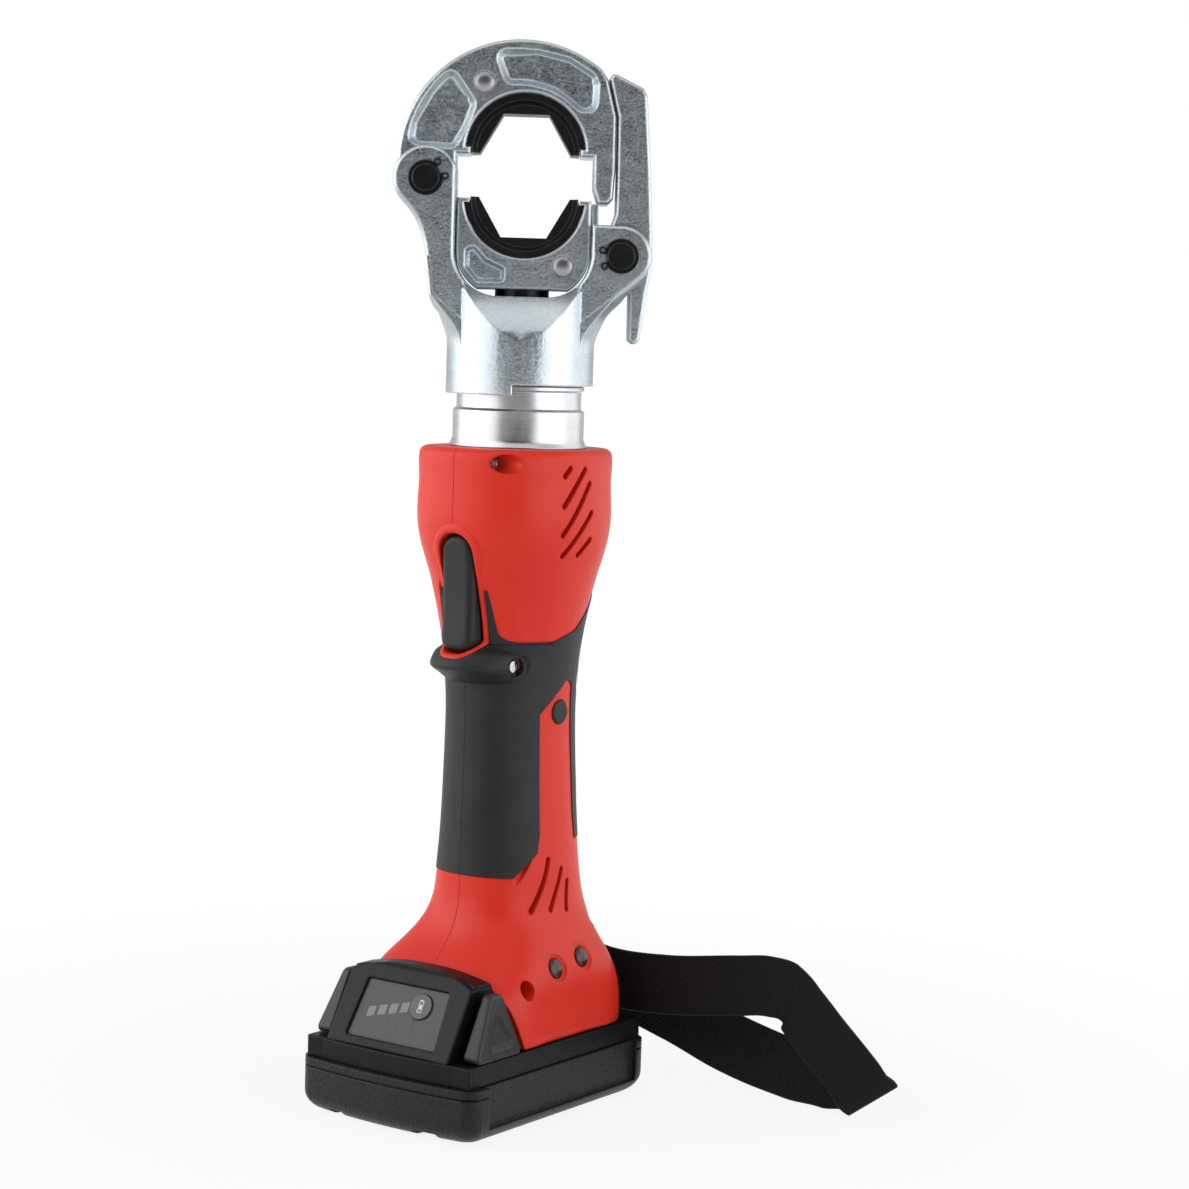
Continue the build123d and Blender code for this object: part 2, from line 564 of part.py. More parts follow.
# Latch lever: hook side against the jaw, boss on its pin, thumb tail below
with BuildPart() as latch:
    with BuildSketch(Plane.XZ):
        with BuildLine():
            Polyline((28.6 + SHUT, 368.0), (30.2, 369.6), (31.8, 369.4), (41.2, 364.9), (42.6, 362.3), (44.6, 336.0),
                     (45.7, 315.3), (46.1, 303.0), (44.3, 292.8), (42.3, 276.2), (40.2, 274.4), (38.2, 276.0),
                     (38.0, 291.8), (33.4, LATCH_Z - 7.5))
            ThreePointArc((33.4, LATCH_Z - 7.5), (LATCH_X - 7.6, LATCH_Z), (30.0, LATCH_Z + 6))
            Polyline((30.0, LATCH_Z + 6), (31.2, 317.0), (32.0 + SHUT + 0.1, 321.0), (32.0 + SHUT + 0.1, 336.0),
                     (31.8 + SHUT + 0.1, 354.8), (28.6 + SHUT, 368.0))
        make_face()
        fillet(vertices().filter_by_position(Axis.X, 41, 43).filter_by_position(Axis.Y, 360, 366), 2.0)
        fillet(vertices().filter_by_position(Axis.Y, 274, 275), 1.5)
    extrude(amount=JAW_HALF, both=True)
    rims = latch.edges().filter_by_position(Axis.Y, -JAW_HALF - 0.01, -JAW_HALF + 0.01)
    rims += latch.edges().filter_by_position(Axis.Y, JAW_HALF - 0.01, JAW_HALF + 0.01)
    chamfer(rims, 0.8)
    with BuildSketch(Plane.XZ):
        with Locations((LATCH_X, LATCH_Z)):
            Circle(PIN_R + RUN)
    extrude(amount=30, both=True, mode=Mode.SUBTRACT)
    with BuildSketch(Plane((LATCH_X, JAW_HALF, LATCH_Z), z_dir=(0, 1, 0))):
        Circle(LATCH_SPRING_R + SLIDE)
    extrude(amount=-4.5, mode=Mode.SUBTRACT)
save(latch.part, "latch_lever")

with BuildPart() as latch_spring:
    with BuildSketch(Plane((LATCH_X, JAW_HALF - 4.2, LATCH_Z), z_dir=(0, 1, 0))):
        Circle(LATCH_SPRING_R)
        Circle(PIN_R + RUN, mode=Mode.SUBTRACT)
    extrude(amount=4.2)
save(latch_spring.part, "latch_spring")

# Die carrier: fills the U, holds the lower die in a round seat and rides on the ram
CARRIER_TOP = DIE_LOW_Z - LEDGE - 0.1
LOW_LIP = DIE_LOW_Z + LEDGE - LIP_H
with BuildPart() as carrier:
    with BuildSketch(Plane.XZ):
        with BuildLine():
            add(u_outline(SHUT, CARRIER_TOP))
        make_face()
        with Locations((0, CARRIER_FLOOR - 10)):
            Rectangle(80, 20, mode=Mode.SUBTRACT)
        with Locations((0, DIE_LOW_Z)):
            Circle(SEAT_R, mode=Mode.SUBTRACT)
        for side in (-1, 1):
            with Locations((side * (LIP_X + 1.2), (LOW_LIP + CARRIER_TOP) / 2)):
                Rectangle(2.4, CARRIER_TOP - LOW_LIP)
    extrude(amount=JAW_HALF, both=True)
    rims = carrier.edges().filter_by_position(Axis.Y, -JAW_HALF - 0.01, -JAW_HALF + 0.01)
    rims += carrier.edges().filter_by_position(Axis.Y, JAW_HALF - 0.01, JAW_HALF + 0.01)
    chamfer(rims.filter_by_position(Axis.Z, 280, CARRIER_TOP - 4), 0.6)
    add(pocket([(-20.6, 307.2), (-17.2, 308.2), (-13.0, 303.6), (-6.2, 300.6), (-6.2, 295.4), (-16.2, 295.2),
                (-20.6, 300.4)], 1.7), mode=Mode.SUBTRACT)
    add(rod((LOW_BUTTON_X, -20, LOW_BUTTON_Z), (LOW_BUTTON_X, BUTTON_BORE - JAW_HALF, LOW_BUTTON_Z),
            BUTTON_R + RUN), mode=Mode.SUBTRACT)
    add(rod((0, 0, CARRIER_FLOOR - 1), (0, 0, CARRIER_FLOOR + STUD_LEN + 0.1), STUD_R + 0.02), mode=Mode.SUBTRACT)
save(carrier.part, "die_carrier")

# Ram, piston and its seal
with BuildPart() as ram:
    add(rod((0, 0, PISTON_TOP), (0, 0, CARRIER_FLOOR), ROD_R))
    add(rod((0, 0, CARRIER_FLOOR), (0, 0, CARRIER_FLOOR + STUD_LEN), STUD_R))
    add(rod((0, 0, PISTON_TOP - STUD_LEN), (0, 0, PISTON_TOP), STUD_R))
save(ram.part, "ram_rod")

SEAL_Z = PISTON_TOP - PISTON_LEN / 2
with BuildPart() as piston:
    add(rod((0, 0, PISTON_TOP - PISTON_LEN), (0, 0, PISTON_TOP), BORE_R - RUN))
    chamfer(piston.edges(), 0.6)
    with BuildSketch(Plane.XY.offset(SEAL_Z - SEAL_T / 2)):
        Circle(BORE_R)
        Circle(BORE_R - 2.6, mode=Mode.SUBTRACT)
    extrude(amount=SEAL_T, mode=Mode.SUBTRACT)
    add(rod((0, 0, PISTON_TOP - STUD_LEN - 0.1), (0, 0, PISTON_TOP + 1), STUD_R + 0.02), mode=Mode.SUBTRACT)
save(piston.part, "piston")

with BuildPart() as seal:
    with BuildSketch(Plane.XY.offset(SEAL_Z - SEAL_T / 2 + RUN)):
        Circle(BORE_R - RUN)
        Circle(BORE_R - 2.6 + RUN, mode=Mode.SUBTRACT)
    extrude(amount=SEAL_T - 2 * RUN)
save(seal.part, "piston_seal")

save(coil(13.4, 1.2, 3, GLAND_Z - PISTON_TOP - 0.2, Plane((0, 0, PISTON_TOP + 0.1))), "return_spring")

# Hydraulic cylinder: flange, barrel in the handle, turned neck and spigot in the collar
with BuildPart() as cylinder:
    with BuildSketch(Plane.XZ):
        with BuildLine():
            Polyline((BORE_R, CYLINDER_FOOT), (FLANGE_R, CYLINDER_FOOT), (FLANGE_R, CYLINDER_FOOT + 5),
                     (BARREL_R, CYLINDER_FOOT + 5), (BARREL_R, BODY_TOP + 0.2), (NECK_R + 1.2, BODY_TOP + 0.2),
                     (NECK_R, BODY_TOP + 3), (NECK_R, 250.0), (GROOVE_R, 250.9), (GROOVE_R, 257.0),
                     (LAND_R, 257.6), (LAND_R, COLLAR_Z - 0.6), (LAND_R - 0.4, COLLAR_Z - 0.2),
                     (SPIGOT_R, COLLAR_Z - 0.2), (SPIGOT_R, RING_Z), (RING_IN, RING_Z), (RING_IN, RING_Z + RING_T),
                     (SPIGOT_R, RING_Z + RING_T), (SPIGOT_R, CYLINDER_TOP - 0.6), (SPIGOT_R - 0.6, CYLINDER_TOP),
                     (ROD_R + RUN, CYLINDER_TOP), (ROD_R + RUN, GLAND_Z), (BORE_R, GLAND_Z), close=True)
        make_face()
    revolve(axis=Axis.Z)
    add(rod((0, 0, STOP_Z), (60 * sin(radians(STOP_TURN)), -60 * cos(radians(STOP_TURN)), STOP_Z), STOP_R + 0.02),
        mode=Mode.SUBTRACT)
save(cylinder.part, "hydraulic_cylinder")

STOP_WAY = (sin(radians(STOP_TURN)), -cos(radians(STOP_TURN)))
save(rod((18.5 * STOP_WAY[0], 18.5 * STOP_WAY[1], STOP_Z), (25.8 * STOP_WAY[0], 25.8 * STOP_WAY[1], STOP_Z), STOP_R),
     "stop_pin")

with BuildPart() as swivel_ring:
    with BuildSketch(Plane.XY.offset(RING_Z + RUN)):
        Circle(RING_R)
        Circle(RING_IN + RUN, mode=Mode.SUBTRACT)
        with Locations((RING_R, 0)):
            Rectangle(8, 2.0, mode=Mode.SUBTRACT)
    extrude(amount=RING_T - 2 * RUN)
save(swivel_ring.part, "swivel_ring")


SLOT_W = TRIGGER_W + 2 * SHUT
SLOT_LOW, SLOT_HIGH = TRIGGER_LOW - SHUT, TRIGGER_HIGH + SHUT


def grip_layer(inner, outer, gap):
    """Layer of the soft grip between two offsets of the handle's skin, drawn inside its room by a gap."""
    with BuildPart() as layer:
        add(skin(SECTIONS, GRIP_LOW, GRIP_HIGH, outer))
        add(skin(LIP, LIP[0][0], LIP[-1][0], 0))
        with BuildSketch(Plane.YZ):
            with BuildLine():
                Polyline((-60, 86.5), (-19.0, 84.0), (-9.6, 92.5), (-8.3, 99.0), (-8.5, 142.4), (3.0, 152.0))
                ThreePointArc((3.0, 152.0), (7.2, 153.4), (9.5, 149.5))
                Polyline((9.5, 149.5), (12.0, 106.0), (13.6, 95.0), (60, 95.0), (60, 196.0), (32.0, 190.0),
                         (22.0, 184.0), (6.0, 172.0), (-6.0, 168.5), (-20.0, 168.5), (-22.5, 170.0), (-25.5, 187.0),
                         (-60, 187.0), (-60, 86.5))
            make_face()
            offset(amount=-gap, kind=Kind.INTERSECTION, mode=Mode.REPLACE)
        extrude(amount=60, both=True, mode=Mode.INTERSECT)
        add(skin(SECTIONS, GRIP_LOW - 1, GRIP_HIGH + 1, inner), mode=Mode.SUBTRACT)
        add(block((-SLOT_W / 2 - RIM - gap, -60, SLOT_LOW - RIM - gap), (SLOT_W / 2 + RIM + gap, 0, SLOT_HIGH + 10)),
            mode=Mode.SUBTRACT)
    return layer.part


NOSE_TOP = 54.6
STRAP_LOW, STRAP_TOP = STRAP_Z - STRAP_W / 2 - SLIDE, STRAP_Z + STRAP_W / 2 + SLIDE


def nose(height):
    """Front of the foot at a height, on the face that leans over the battery."""
    return FOOT_NOSE_Y - FOOT_LEAN * (height - FOOT_NOSE_Z)


def rib(low, radius):
    """Rib across the handle's cavity with a round seat about the axis."""
    half, front, back, power = section_at(SECTIONS, low)
    with BuildPart() as wall:
        with BuildSketch(Plane.XY.offset(low)):
            with BuildLine():
                Spline(oval((half, front, back, power), -WALL / 2), periodic=True)
            make_face()
            Circle(radius, mode=Mode.SUBTRACT)
        extrude(amount=RIB_T)
    return wall.part


def lens_plane(place):
    """Plane of an indicator lens, leaning back from the right face of the foot."""
    return Plane(place, x_dir=(0, 1, 0), z_dir=(cos(radians(LENS_TILT)), 0, sin(radians(LENS_TILT))))


# Handle body, drawn whole and then split into two shells
with BuildPart() as cavity:
    add(skin(SECTIONS, FOOT_FLOOR, BODY_TOP - WALL, -WALL))

# Guides beside the trigger, bosses of the screws, block round the strap's pin and ribs round the drive
with BuildPart() as inner:
    add(block((-CHEEK_W / 2, -50, SLOT_LOW - 4), (CHEEK_W / 2, CHEEK_BACK, SLOT_HIGH + 2)))
    for y, z in SCREWS:
        add(rod((-60, y, z), (60, y, z), BOSS_R))
    add(block((-STRAP_ROOM_X - 3, STRAP_ROOM_Y - 2.5, FOOT_FLOOR - 3), (STRAP_ROOM_X + 3, 60, STRAP_TOP + 3)))
    for low in RIBS:
        add(rib(low, MOTOR_R + RUN))
    add(rib(CYLINDER_FOOT + 1, FLANGE_R + RUN))
    add(skin(SECTIONS, BODY_FOOT + 1, BODY_TOP - TOP_ROUND, -WALL / 2), mode=Mode.INTERSECT)

# All that is cut from the handle body
with BuildPart() as cuts:
    # Front of the foot leans over the end of the battery
    with BuildSketch(Plane.YZ):
        with BuildLine():
            Polyline((nose(BODY_FOOT - 1), BODY_FOOT - 1), (nose(NOSE_TOP), NOSE_TOP), (-80, NOSE_TOP),
                     (-80, BODY_FOOT - 1), close=True)
        make_face()
    extrude(amount=60, both=True)
    # Slot for the battery's rail and window for its contacts
    rail_roof = RAIL_TOP + SHUT
    rail_end = RAIL_BACK + 1
    add(block((-RAIL_W / 2 - SLIDE, -80, BODY_FOOT - 1), (RAIL_W / 2 + SLIDE, rail_end, rail_roof)))
    add(block((-RAIL_HEAD_W / 2 - SLIDE, -80, RAIL_STEP - SLIDE), (RAIL_HEAD_W / 2 + SLIDE, rail_end, rail_roof)))
    add(block((-BLADES_X[2] - 2, BLADE_FRONT - 1, rail_roof - 1), (BLADES_X[2] + 2, BLADE_BACK + 1, FOOT_FLOOR + 1)))
    # Room for the strap at the back and its pin
    add(block((-STRAP_ROOM_X, STRAP_ROOM_Y, STRAP_LOW), (STRAP_ROOM_X, 60, STRAP_TOP)))
    add(rod((0, STRAP_PIN_Y, STRAP_LOW - 1.2), (0, STRAP_PIN_Y, STRAP_TOP + 2.5), STRAP_PIN_R + 0.02))
    # Trigger's slot and pin, and the neck
    add(block((-SLOT_W / 2, -60, SLOT_LOW), (SLOT_W / 2, CHEEK_BACK + 6, SLOT_HIGH)))
    add(rod((-TRIGGER_PIN_LEN / 2 - 0.1, TRIGGER_PIN_Y, TRIGGER_PIN_Z),
            (TRIGGER_PIN_LEN / 2 + 0.1, TRIGGER_PIN_Y, TRIGGER_PIN_Z), TRIGGER_PIN_R + 0.02))
    add(rod((0, 0, BODY_TOP - 20), (0, 0, BODY_TOP + 1), BARREL_R + 0.1))
    # Screws from the right
    for y, z in SCREWS:
        add(rod((SCREW_TIP_X - 1, y, z), (60, y, z), SCREW_R + 0.02))
        add(rod((SCREW_HEAD_X, y, z), (60, y, z), SCREW_HEAD_R + 0.4))
    # Cooling slots through both sides
    for side in (-1, 1):
        with BuildSketch(Plane.YZ.offset(side * 18)):
            for start, end in VENTS:
                centre = ((start[0] + end[0]) / 2, (start[1] + end[1]) / 2)
                SlotCenterPoint(centre, end, VENT_W)
            for start, middle, end in FOOT_VENTS:
                with BuildLine():
                    bow = ThreePointArc(start, middle, end)
                SlotArc(bow, VENT_W)
        extrude(amount=side * 30)
    # Hole of the side button, dishes and bores of the indicator lenses
    add(rod((0, SIDE_BUTTON_Y, SIDE_BUTTON_Z), (60, SIDE_BUTTON_Y, SIDE_BUTTON_Z), SIDE_BUTTON_R + RUN))
    for lens in LENSES:
        with BuildSketch(lens_plane(lens).offset(1)):
            Circle(DISH_R)
        extrude(amount=-1 - DISH_DEEP, taper=45)
        with BuildSketch(lens_plane(lens).offset(1)):
            Circle(LENS_R + RUN)
        extrude(amount=-12)

with BuildPart() as body:
    add(skin(SECTIONS, BODY_FOOT, BODY_TOP, 0))
    fillet(body.edges().group_by(Axis.Z)[-1], TOP_ROUND)
    add(cavity.part, mode=Mode.SUBTRACT)
    add(inner.part, clean=False)
    add(cuts.part, mode=Mode.SUBTRACT, clean=False)
    add(grip_layer(-RUBBER_IN, 5, 0.01), mode=Mode.SUBTRACT, clean=False)

soft = grip_layer(SEAM - RUBBER_IN, RUBBER_OUT, SEAM)


def half(whole, side):
    """One side of a body that is split along the tool, as a piece of its own."""
    near, far = sorted((side * SEAM / 2, side * 100))
    with BuildPart() as piece:
        add(whole)
        add(block((near, -100, 0), (far, 100, 300)), mode=Mode.INTERSECT)
    return piece.part


# Left shell keeps its wall whole where only the right one has screw heads, button and lenses
save(half(body.part, -1), "left_shell", turned=True)
save(half(body.part, 1), "right_shell", turned=True)
save(half(soft, -1), "left_grip", turned=True)

with BuildPart() as right_grip:
    add(half(soft, 1))
    for y, z in SCREWS:
        add(rod((SCREW_HEAD_X, y, z), (60, y, z), SCREW_HEAD_R + 0.8), mode=Mode.SUBTRACT)
save(right_grip.part, "right_grip", turned=True)

with BuildPart() as shell_screws:
    for y, z in SCREWS:
        add(rod((SCREW_TIP_X, y, z), (SCREW_HEAD_X, y, z), SCREW_R))
        add(rod((SCREW_HEAD_X, y, z), (SCREW_HEAD_X + SCREW_HEAD_H, y, z), SCREW_HEAD_R))
        add(rod((SCREW_HEAD_X + SCREW_HEAD_H - 1.2, y, z), (SCREW_HEAD_X + SCREW_HEAD_H + 1, y, z), 1.2),
            mode=Mode.SUBTRACT)
save(shell_screws.part, "shell_screws", turned=True)

# Trigger: long rocker on a pin near its top
with BuildPart() as trigger:
    with BuildSketch(Plane.YZ):
        with BuildLine():
            Spline((-35.2, TRIGGER_HIGH), (-32.4, 195.0), (-31.0, 180.0), (-31.6, TRIGGER_LOW))
            Polyline((-31.6, TRIGGER_LOW), (-25.6, TRIGGER_LOW), (-28.6, TRIGGER_HIGH), (-35.2, TRIGGER_HIGH))
        make_face()
    extrude(amount=TRIGGER_W / 2, both=True)
    fillet(trigger.edges().filter_by(GeomType.BSPLINE), 2.2)
    add(rod((-20, TRIGGER_PIN_Y, TRIGGER_PIN_Z), (20, TRIGGER_PIN_Y, TRIGGER_PIN_Z), TRIGGER_PIN_R + RUN),
        mode=Mode.SUBTRACT)
save(trigger.part, "trigger", turned=True)
save(rod((-TRIGGER_PIN_LEN / 2, TRIGGER_PIN_Y, TRIGGER_PIN_Z), (TRIGGER_PIN_LEN / 2, TRIGGER_PIN_Y, TRIGGER_PIN_Z),
         TRIGGER_PIN_R), "trigger_pin", turned=True)

# Switch behind the trigger
SWITCH_BACK = -MOTOR_R - 0.35
with BuildPart() as trigger_switch:
    add(block((-6.5, -22.4, 172.0), (6.5, SWITCH_BACK, 195.0)))
    add(rod((0, -22.4, 178.0), (0, -24.4, 178.0), 1.6))
save(trigger_switch.part, "trigger_switch", turned=True)

# Side button and its switch
with BuildPart() as side_button:
    add(rod((SIDE_BUTTON_IN, SIDE_BUTTON_Y, SIDE_BUTTON_Z), (SIDE_BUTTON_OUT, SIDE_BUTTON_Y, SIDE_BUTTON_Z), SIDE_BUTTON_R))
    fillet(side_button.edges().sort_by(Axis.X)[-1], 0.8)
save(side_button.part, "release_button", turned=True)
save(block((MOTOR_R + 0.2, SIDE_BUTTON_Y - 3, SIDE_BUTTON_Z - 3), (SIDE_BUTTON_IN - 1.3, SIDE_BUTTON_Y + 3, SIDE_BUTTON_Z + 3)),
     "release_switch", turned=True)

# Indicator lenses
with BuildPart() as lenses:
    for lens in LENSES:
        with BuildSketch(lens_plane(lens).offset(-DISH_DEEP - LENS_LEN + 1.4)):
            Circle(LENS_R)
        extrude(amount=LENS_LEN)
    fillet(lenses.edges().filter_by(GeomType.CIRCLE).group_by(Axis.X)[-1], 1.2)
save(lenses.part, "indicator_lenses", turned=True)

# Drive: motor, gearbox, pump with its eccentric shaft, and the oil bladder round the barrel
with BuildPart() as motor:
    add(rod((0, 0, MOTOR_LOW), (0, 0, MOTOR_HIGH), MOTOR_R))
    chamfer(motor.edges().group_by(Axis.Z)[0], 1.5)
    add(rod((0, 0, MOTOR_LOW - 5), (0, 0, MOTOR_LOW), 5))
save(motor.part, "motor", turned=True)

with BuildPart() as gearbox:
    add(rod((0, 0, MOTOR_HIGH), (0, 0, GEAR_HIGH), MOTOR_R))
    chamfer(gearbox.edges().group_by(Axis.Z)[-1], 1)
    add(rod((0, 0, GEAR_HIGH - 9), (0, 0, GEAR_HIGH + 1), SHAFT_R + RUN), mode=Mode.SUBTRACT)
save(gearbox.part, "gearbox", turned=True)

CAM_TOP = PUMP_HIGH - 10
PLUNGER_Z = GEAR_HIGH + 10
with BuildPart() as pump:
    add(rod((0, 0, GEAR_HIGH), (0, 0, PUMP_HIGH), PUMP_R))
    add(rod((0, 0, PUMP_HIGH - PUMP_FLANGE), (0, 0, PUMP_HIGH), FLANGE_R))
    add(rod((0, 0, GEAR_HIGH - 1), (0, 0, CAM_TOP), CAM_ROOM), mode=Mode.SUBTRACT)
    add(rod((0, 0, PLUNGER_Z), (PUMP_R + 1, 0, PLUNGER_Z), 2.5 + RUN), mode=Mode.SUBTRACT)
save(pump.part, "pump_block", turned=True)

with BuildPart() as eccentric:
    add(rod((0, 0, GEAR_HIGH - 8.8), (0, 0, CAM_TOP - 0.2), SHAFT_R))
    add(rod((CAM_OFF, 0, PLUNGER_Z - 4), (CAM_OFF, 0, PLUNGER_Z + 4), CAM_R))
save(eccentric.part, "eccentric_shaft", turned=True)

with BuildPart() as bearings:
    for low in (GEAR_HIGH + 0.3, CAM_TOP - 4.3):
        with BuildSketch(Plane.XY.offset(low)):
            Circle(CAM_ROOM - 0.02)
            Circle(SHAFT_R + RUN, mode=Mode.SUBTRACT)
        extrude(amount=4)
save(bearings.part, "shaft_bearings", turned=True)
save(rod((CAM_OFF + CAM_R + 0.3, 0, PLUNGER_Z), (PUMP_R, 0, PLUNGER_Z), 2.5), "pump_plunger", turned=True)

with BuildPart() as bladder:
    with BuildSketch(Plane.XY.offset(BLADDER_LOW)):
        Circle(BLADDER_R)
        Circle(BARREL_R + SLIDE, mode=Mode.SUBTRACT)
    extrude(amount=BLADDER_HIGH - BLADDER_LOW)
    chamfer(bladder.edges().filter_by(GeomType.CIRCLE), 0.8)
save(bladder.part, "oil_bladder", turned=True)

# Terminal block with its blades and the control board on two posts
BLADE_MID = (BLADE_FRONT + BLADE_BACK) / 2
with BuildPart() as terminals:
    add(block((-18, BLADE_FRONT - 4, FOOT_FLOOR), (18, BLADE_BACK + 4, FOOT_FLOOR + 6)))
    for x in (-15, 15):
        add(rod((x, BLADE_MID, FOOT_FLOOR + 6), (x, BLADE_MID, BOARD_Z), 2.2))
    for x in BLADES_X:
        add(block((x - BLADE_T / 2 - 0.02, BLADE_FRONT - 0.02, FOOT_FLOOR - 1), (x + BLADE_T / 2 + 0.02, BLADE_BACK + 0.02, FOOT_FLOOR + 4)),
            mode=Mode.SUBTRACT)
save(terminals.part, "terminal_block", turned=True)

with BuildPart() as blades:
    for x in BLADES_X:
        add(block((x - BLADE_T / 2, BLADE_FRONT, BLADE_LOW), (x + BLADE_T / 2, BLADE_BACK, FOOT_FLOOR + 3.8)))
save(blades.part, "contact_blades", turned=True)

with BuildPart() as board:
    add(block((-19, -18, BOARD_Z), (19, 20, BOARD_Z + BOARD_T)))
    add(rod((8, 4, BOARD_Z + BOARD_T), (8, 4, BOARD_Z + 14), 5))
    add(block((-14, -10, BOARD_Z + BOARD_T), (-2, 8, BOARD_Z + 7)))
save(board.part, "control_board", turned=True)

# Battery lower case: rounded tray with a groove round its rim and sunk side panels
PACK_LEN = PACK_BACK - PACK_FRONT
PACK_MID = (PACK_FRONT + PACK_BACK) / 2
CELLS_LEN = CELL_PITCH * (CELL_COUNT - 1) + 2 * CELL_R
ROOM_FRONT, ROOM_BACK = CELL_MID_Y - CELLS_LEN / 2 - SLIDE, CELL_MID_Y + CELLS_LEN / 2 + SLIDE
ROOM_HALF = CELL_LEN / 2 + SHUT


def slab(low, high, inset):
    """Rounded slab of the battery's outline between two heights."""
    with BuildPart() as plate:
        with BuildSketch(Plane.XY.offset(low)):
            with Locations((0, PACK_MID)):
                RectangleRounded(PACK_W - 2 * inset, PACK_LEN - 2 * inset, PACK_CORNER - inset)
        extrude(amount=high - low)
    return plate.part


with BuildPart() as lower_case:
    add(slab(0, SLAB_TOP, 0))
    fillet(lower_case.edges().group_by(Axis.Z)[0], PACK_ROUND)
    add(slab(SLAB_TOP, RIM_LOW, GROOVE_IN))
    add(slab(RIM_LOW, CASE_TOP, 0))
    # Sunk panel along each side
    for side in (-1, 1):
        near, far = sorted((side * (PACK_W / 2 - PANEL_IN), side * PACK_W))
        add(block((near, PANEL_FRONT, PANEL_LOW), (far, PANEL_BACK, CASE_TOP + 1)), mode=Mode.SUBTRACT)
    # Notches in the front edge
    for left, right in ((-25.0, -19.0), (12.8, 23.0)):
        add(block((left, PACK_FRONT - 1, -1), (right, PACK_FRONT + PACK_ROUND + 3, 1.6)), mode=Mode.SUBTRACT)
    # Room for the cells and bores of the screws
    add(block((-ROOM_HALF, ROOM_FRONT, CASE_FLOOR), (ROOM_HALF, ROOM_BACK, CASE_TOP + 1)), mode=Mode.SUBTRACT)
    for x, y in CASE_SCREWS:
        add(rod((x, y, -1), (x, y, CASE_TOP + 1), CASE_SCREW_R + 0.02), mode=Mode.SUBTRACT)
        add(rod((x, y, -1), (x, y, 6), CASE_SCREW_HEAD_R + 0.3), mode=Mode.SUBTRACT)
save(lower_case.part, "battery_lower_case", turned=True)

with BuildPart() as case_screws:
    for x, y in CASE_SCREWS:
        add(rod((x, y, 6), (x, y, PLATE_ROOF + 0.8), CASE_SCREW_R))
        add(rod((x, y, 4), (x, y, 6), CASE_SCREW_HEAD_R))
save(case_screws.part, "case_screws", turned=True)

# Cells lie side by side across the pack, under a board
with BuildPart() as cells:
    for index in range(CELL_COUNT):
        y = CELL_MID_Y + CELL_PITCH * (index - (CELL_COUNT - 1) / 2)
        add(rod((-CELL_LEN / 2, y, CELL_Z), (CELL_LEN / 2, y, CELL_Z), CELL_R))
save(cells.part, "battery_cells", turned=True)

CELL_BOARD_Z = CELL_Z + CELL_R + SLIDE
save(block((-28, ROOM_FRONT + 6, CELL_BOARD_Z), (28, ROOM_BACK - 6, CELL_BOARD_Z + BOARD_T)), "cell_board", turned=True)

# Battery upper case: plate, rail for the handle's slot and the raised end with the charge gauge
SLOPE_UP = Vector(0, CAP_SLOPE_Y - CAP_FOOT_Y, CAP_SHOULDER_Z - PLATE_TOP)
SLOPE_LEN = SLOPE_UP.length
GAUGE_PLANE = Plane((0, CAP_FOOT_Y, PLATE_TOP), x_dir=(1, 0, 0), z_dir=(0, -SLOPE_UP.Z, SLOPE_UP.Y))


def gauge_outline(gap):
    """Corners of the gauge panel on the slope, drawn inside by a gap."""
    low, high = 2.0 + gap, SLOPE_LEN - 2.2 - gap
    return ((-20.0 + gap, low), (20.0 - gap, low), (18.5 - gap, high), (-18.5 + gap, high))


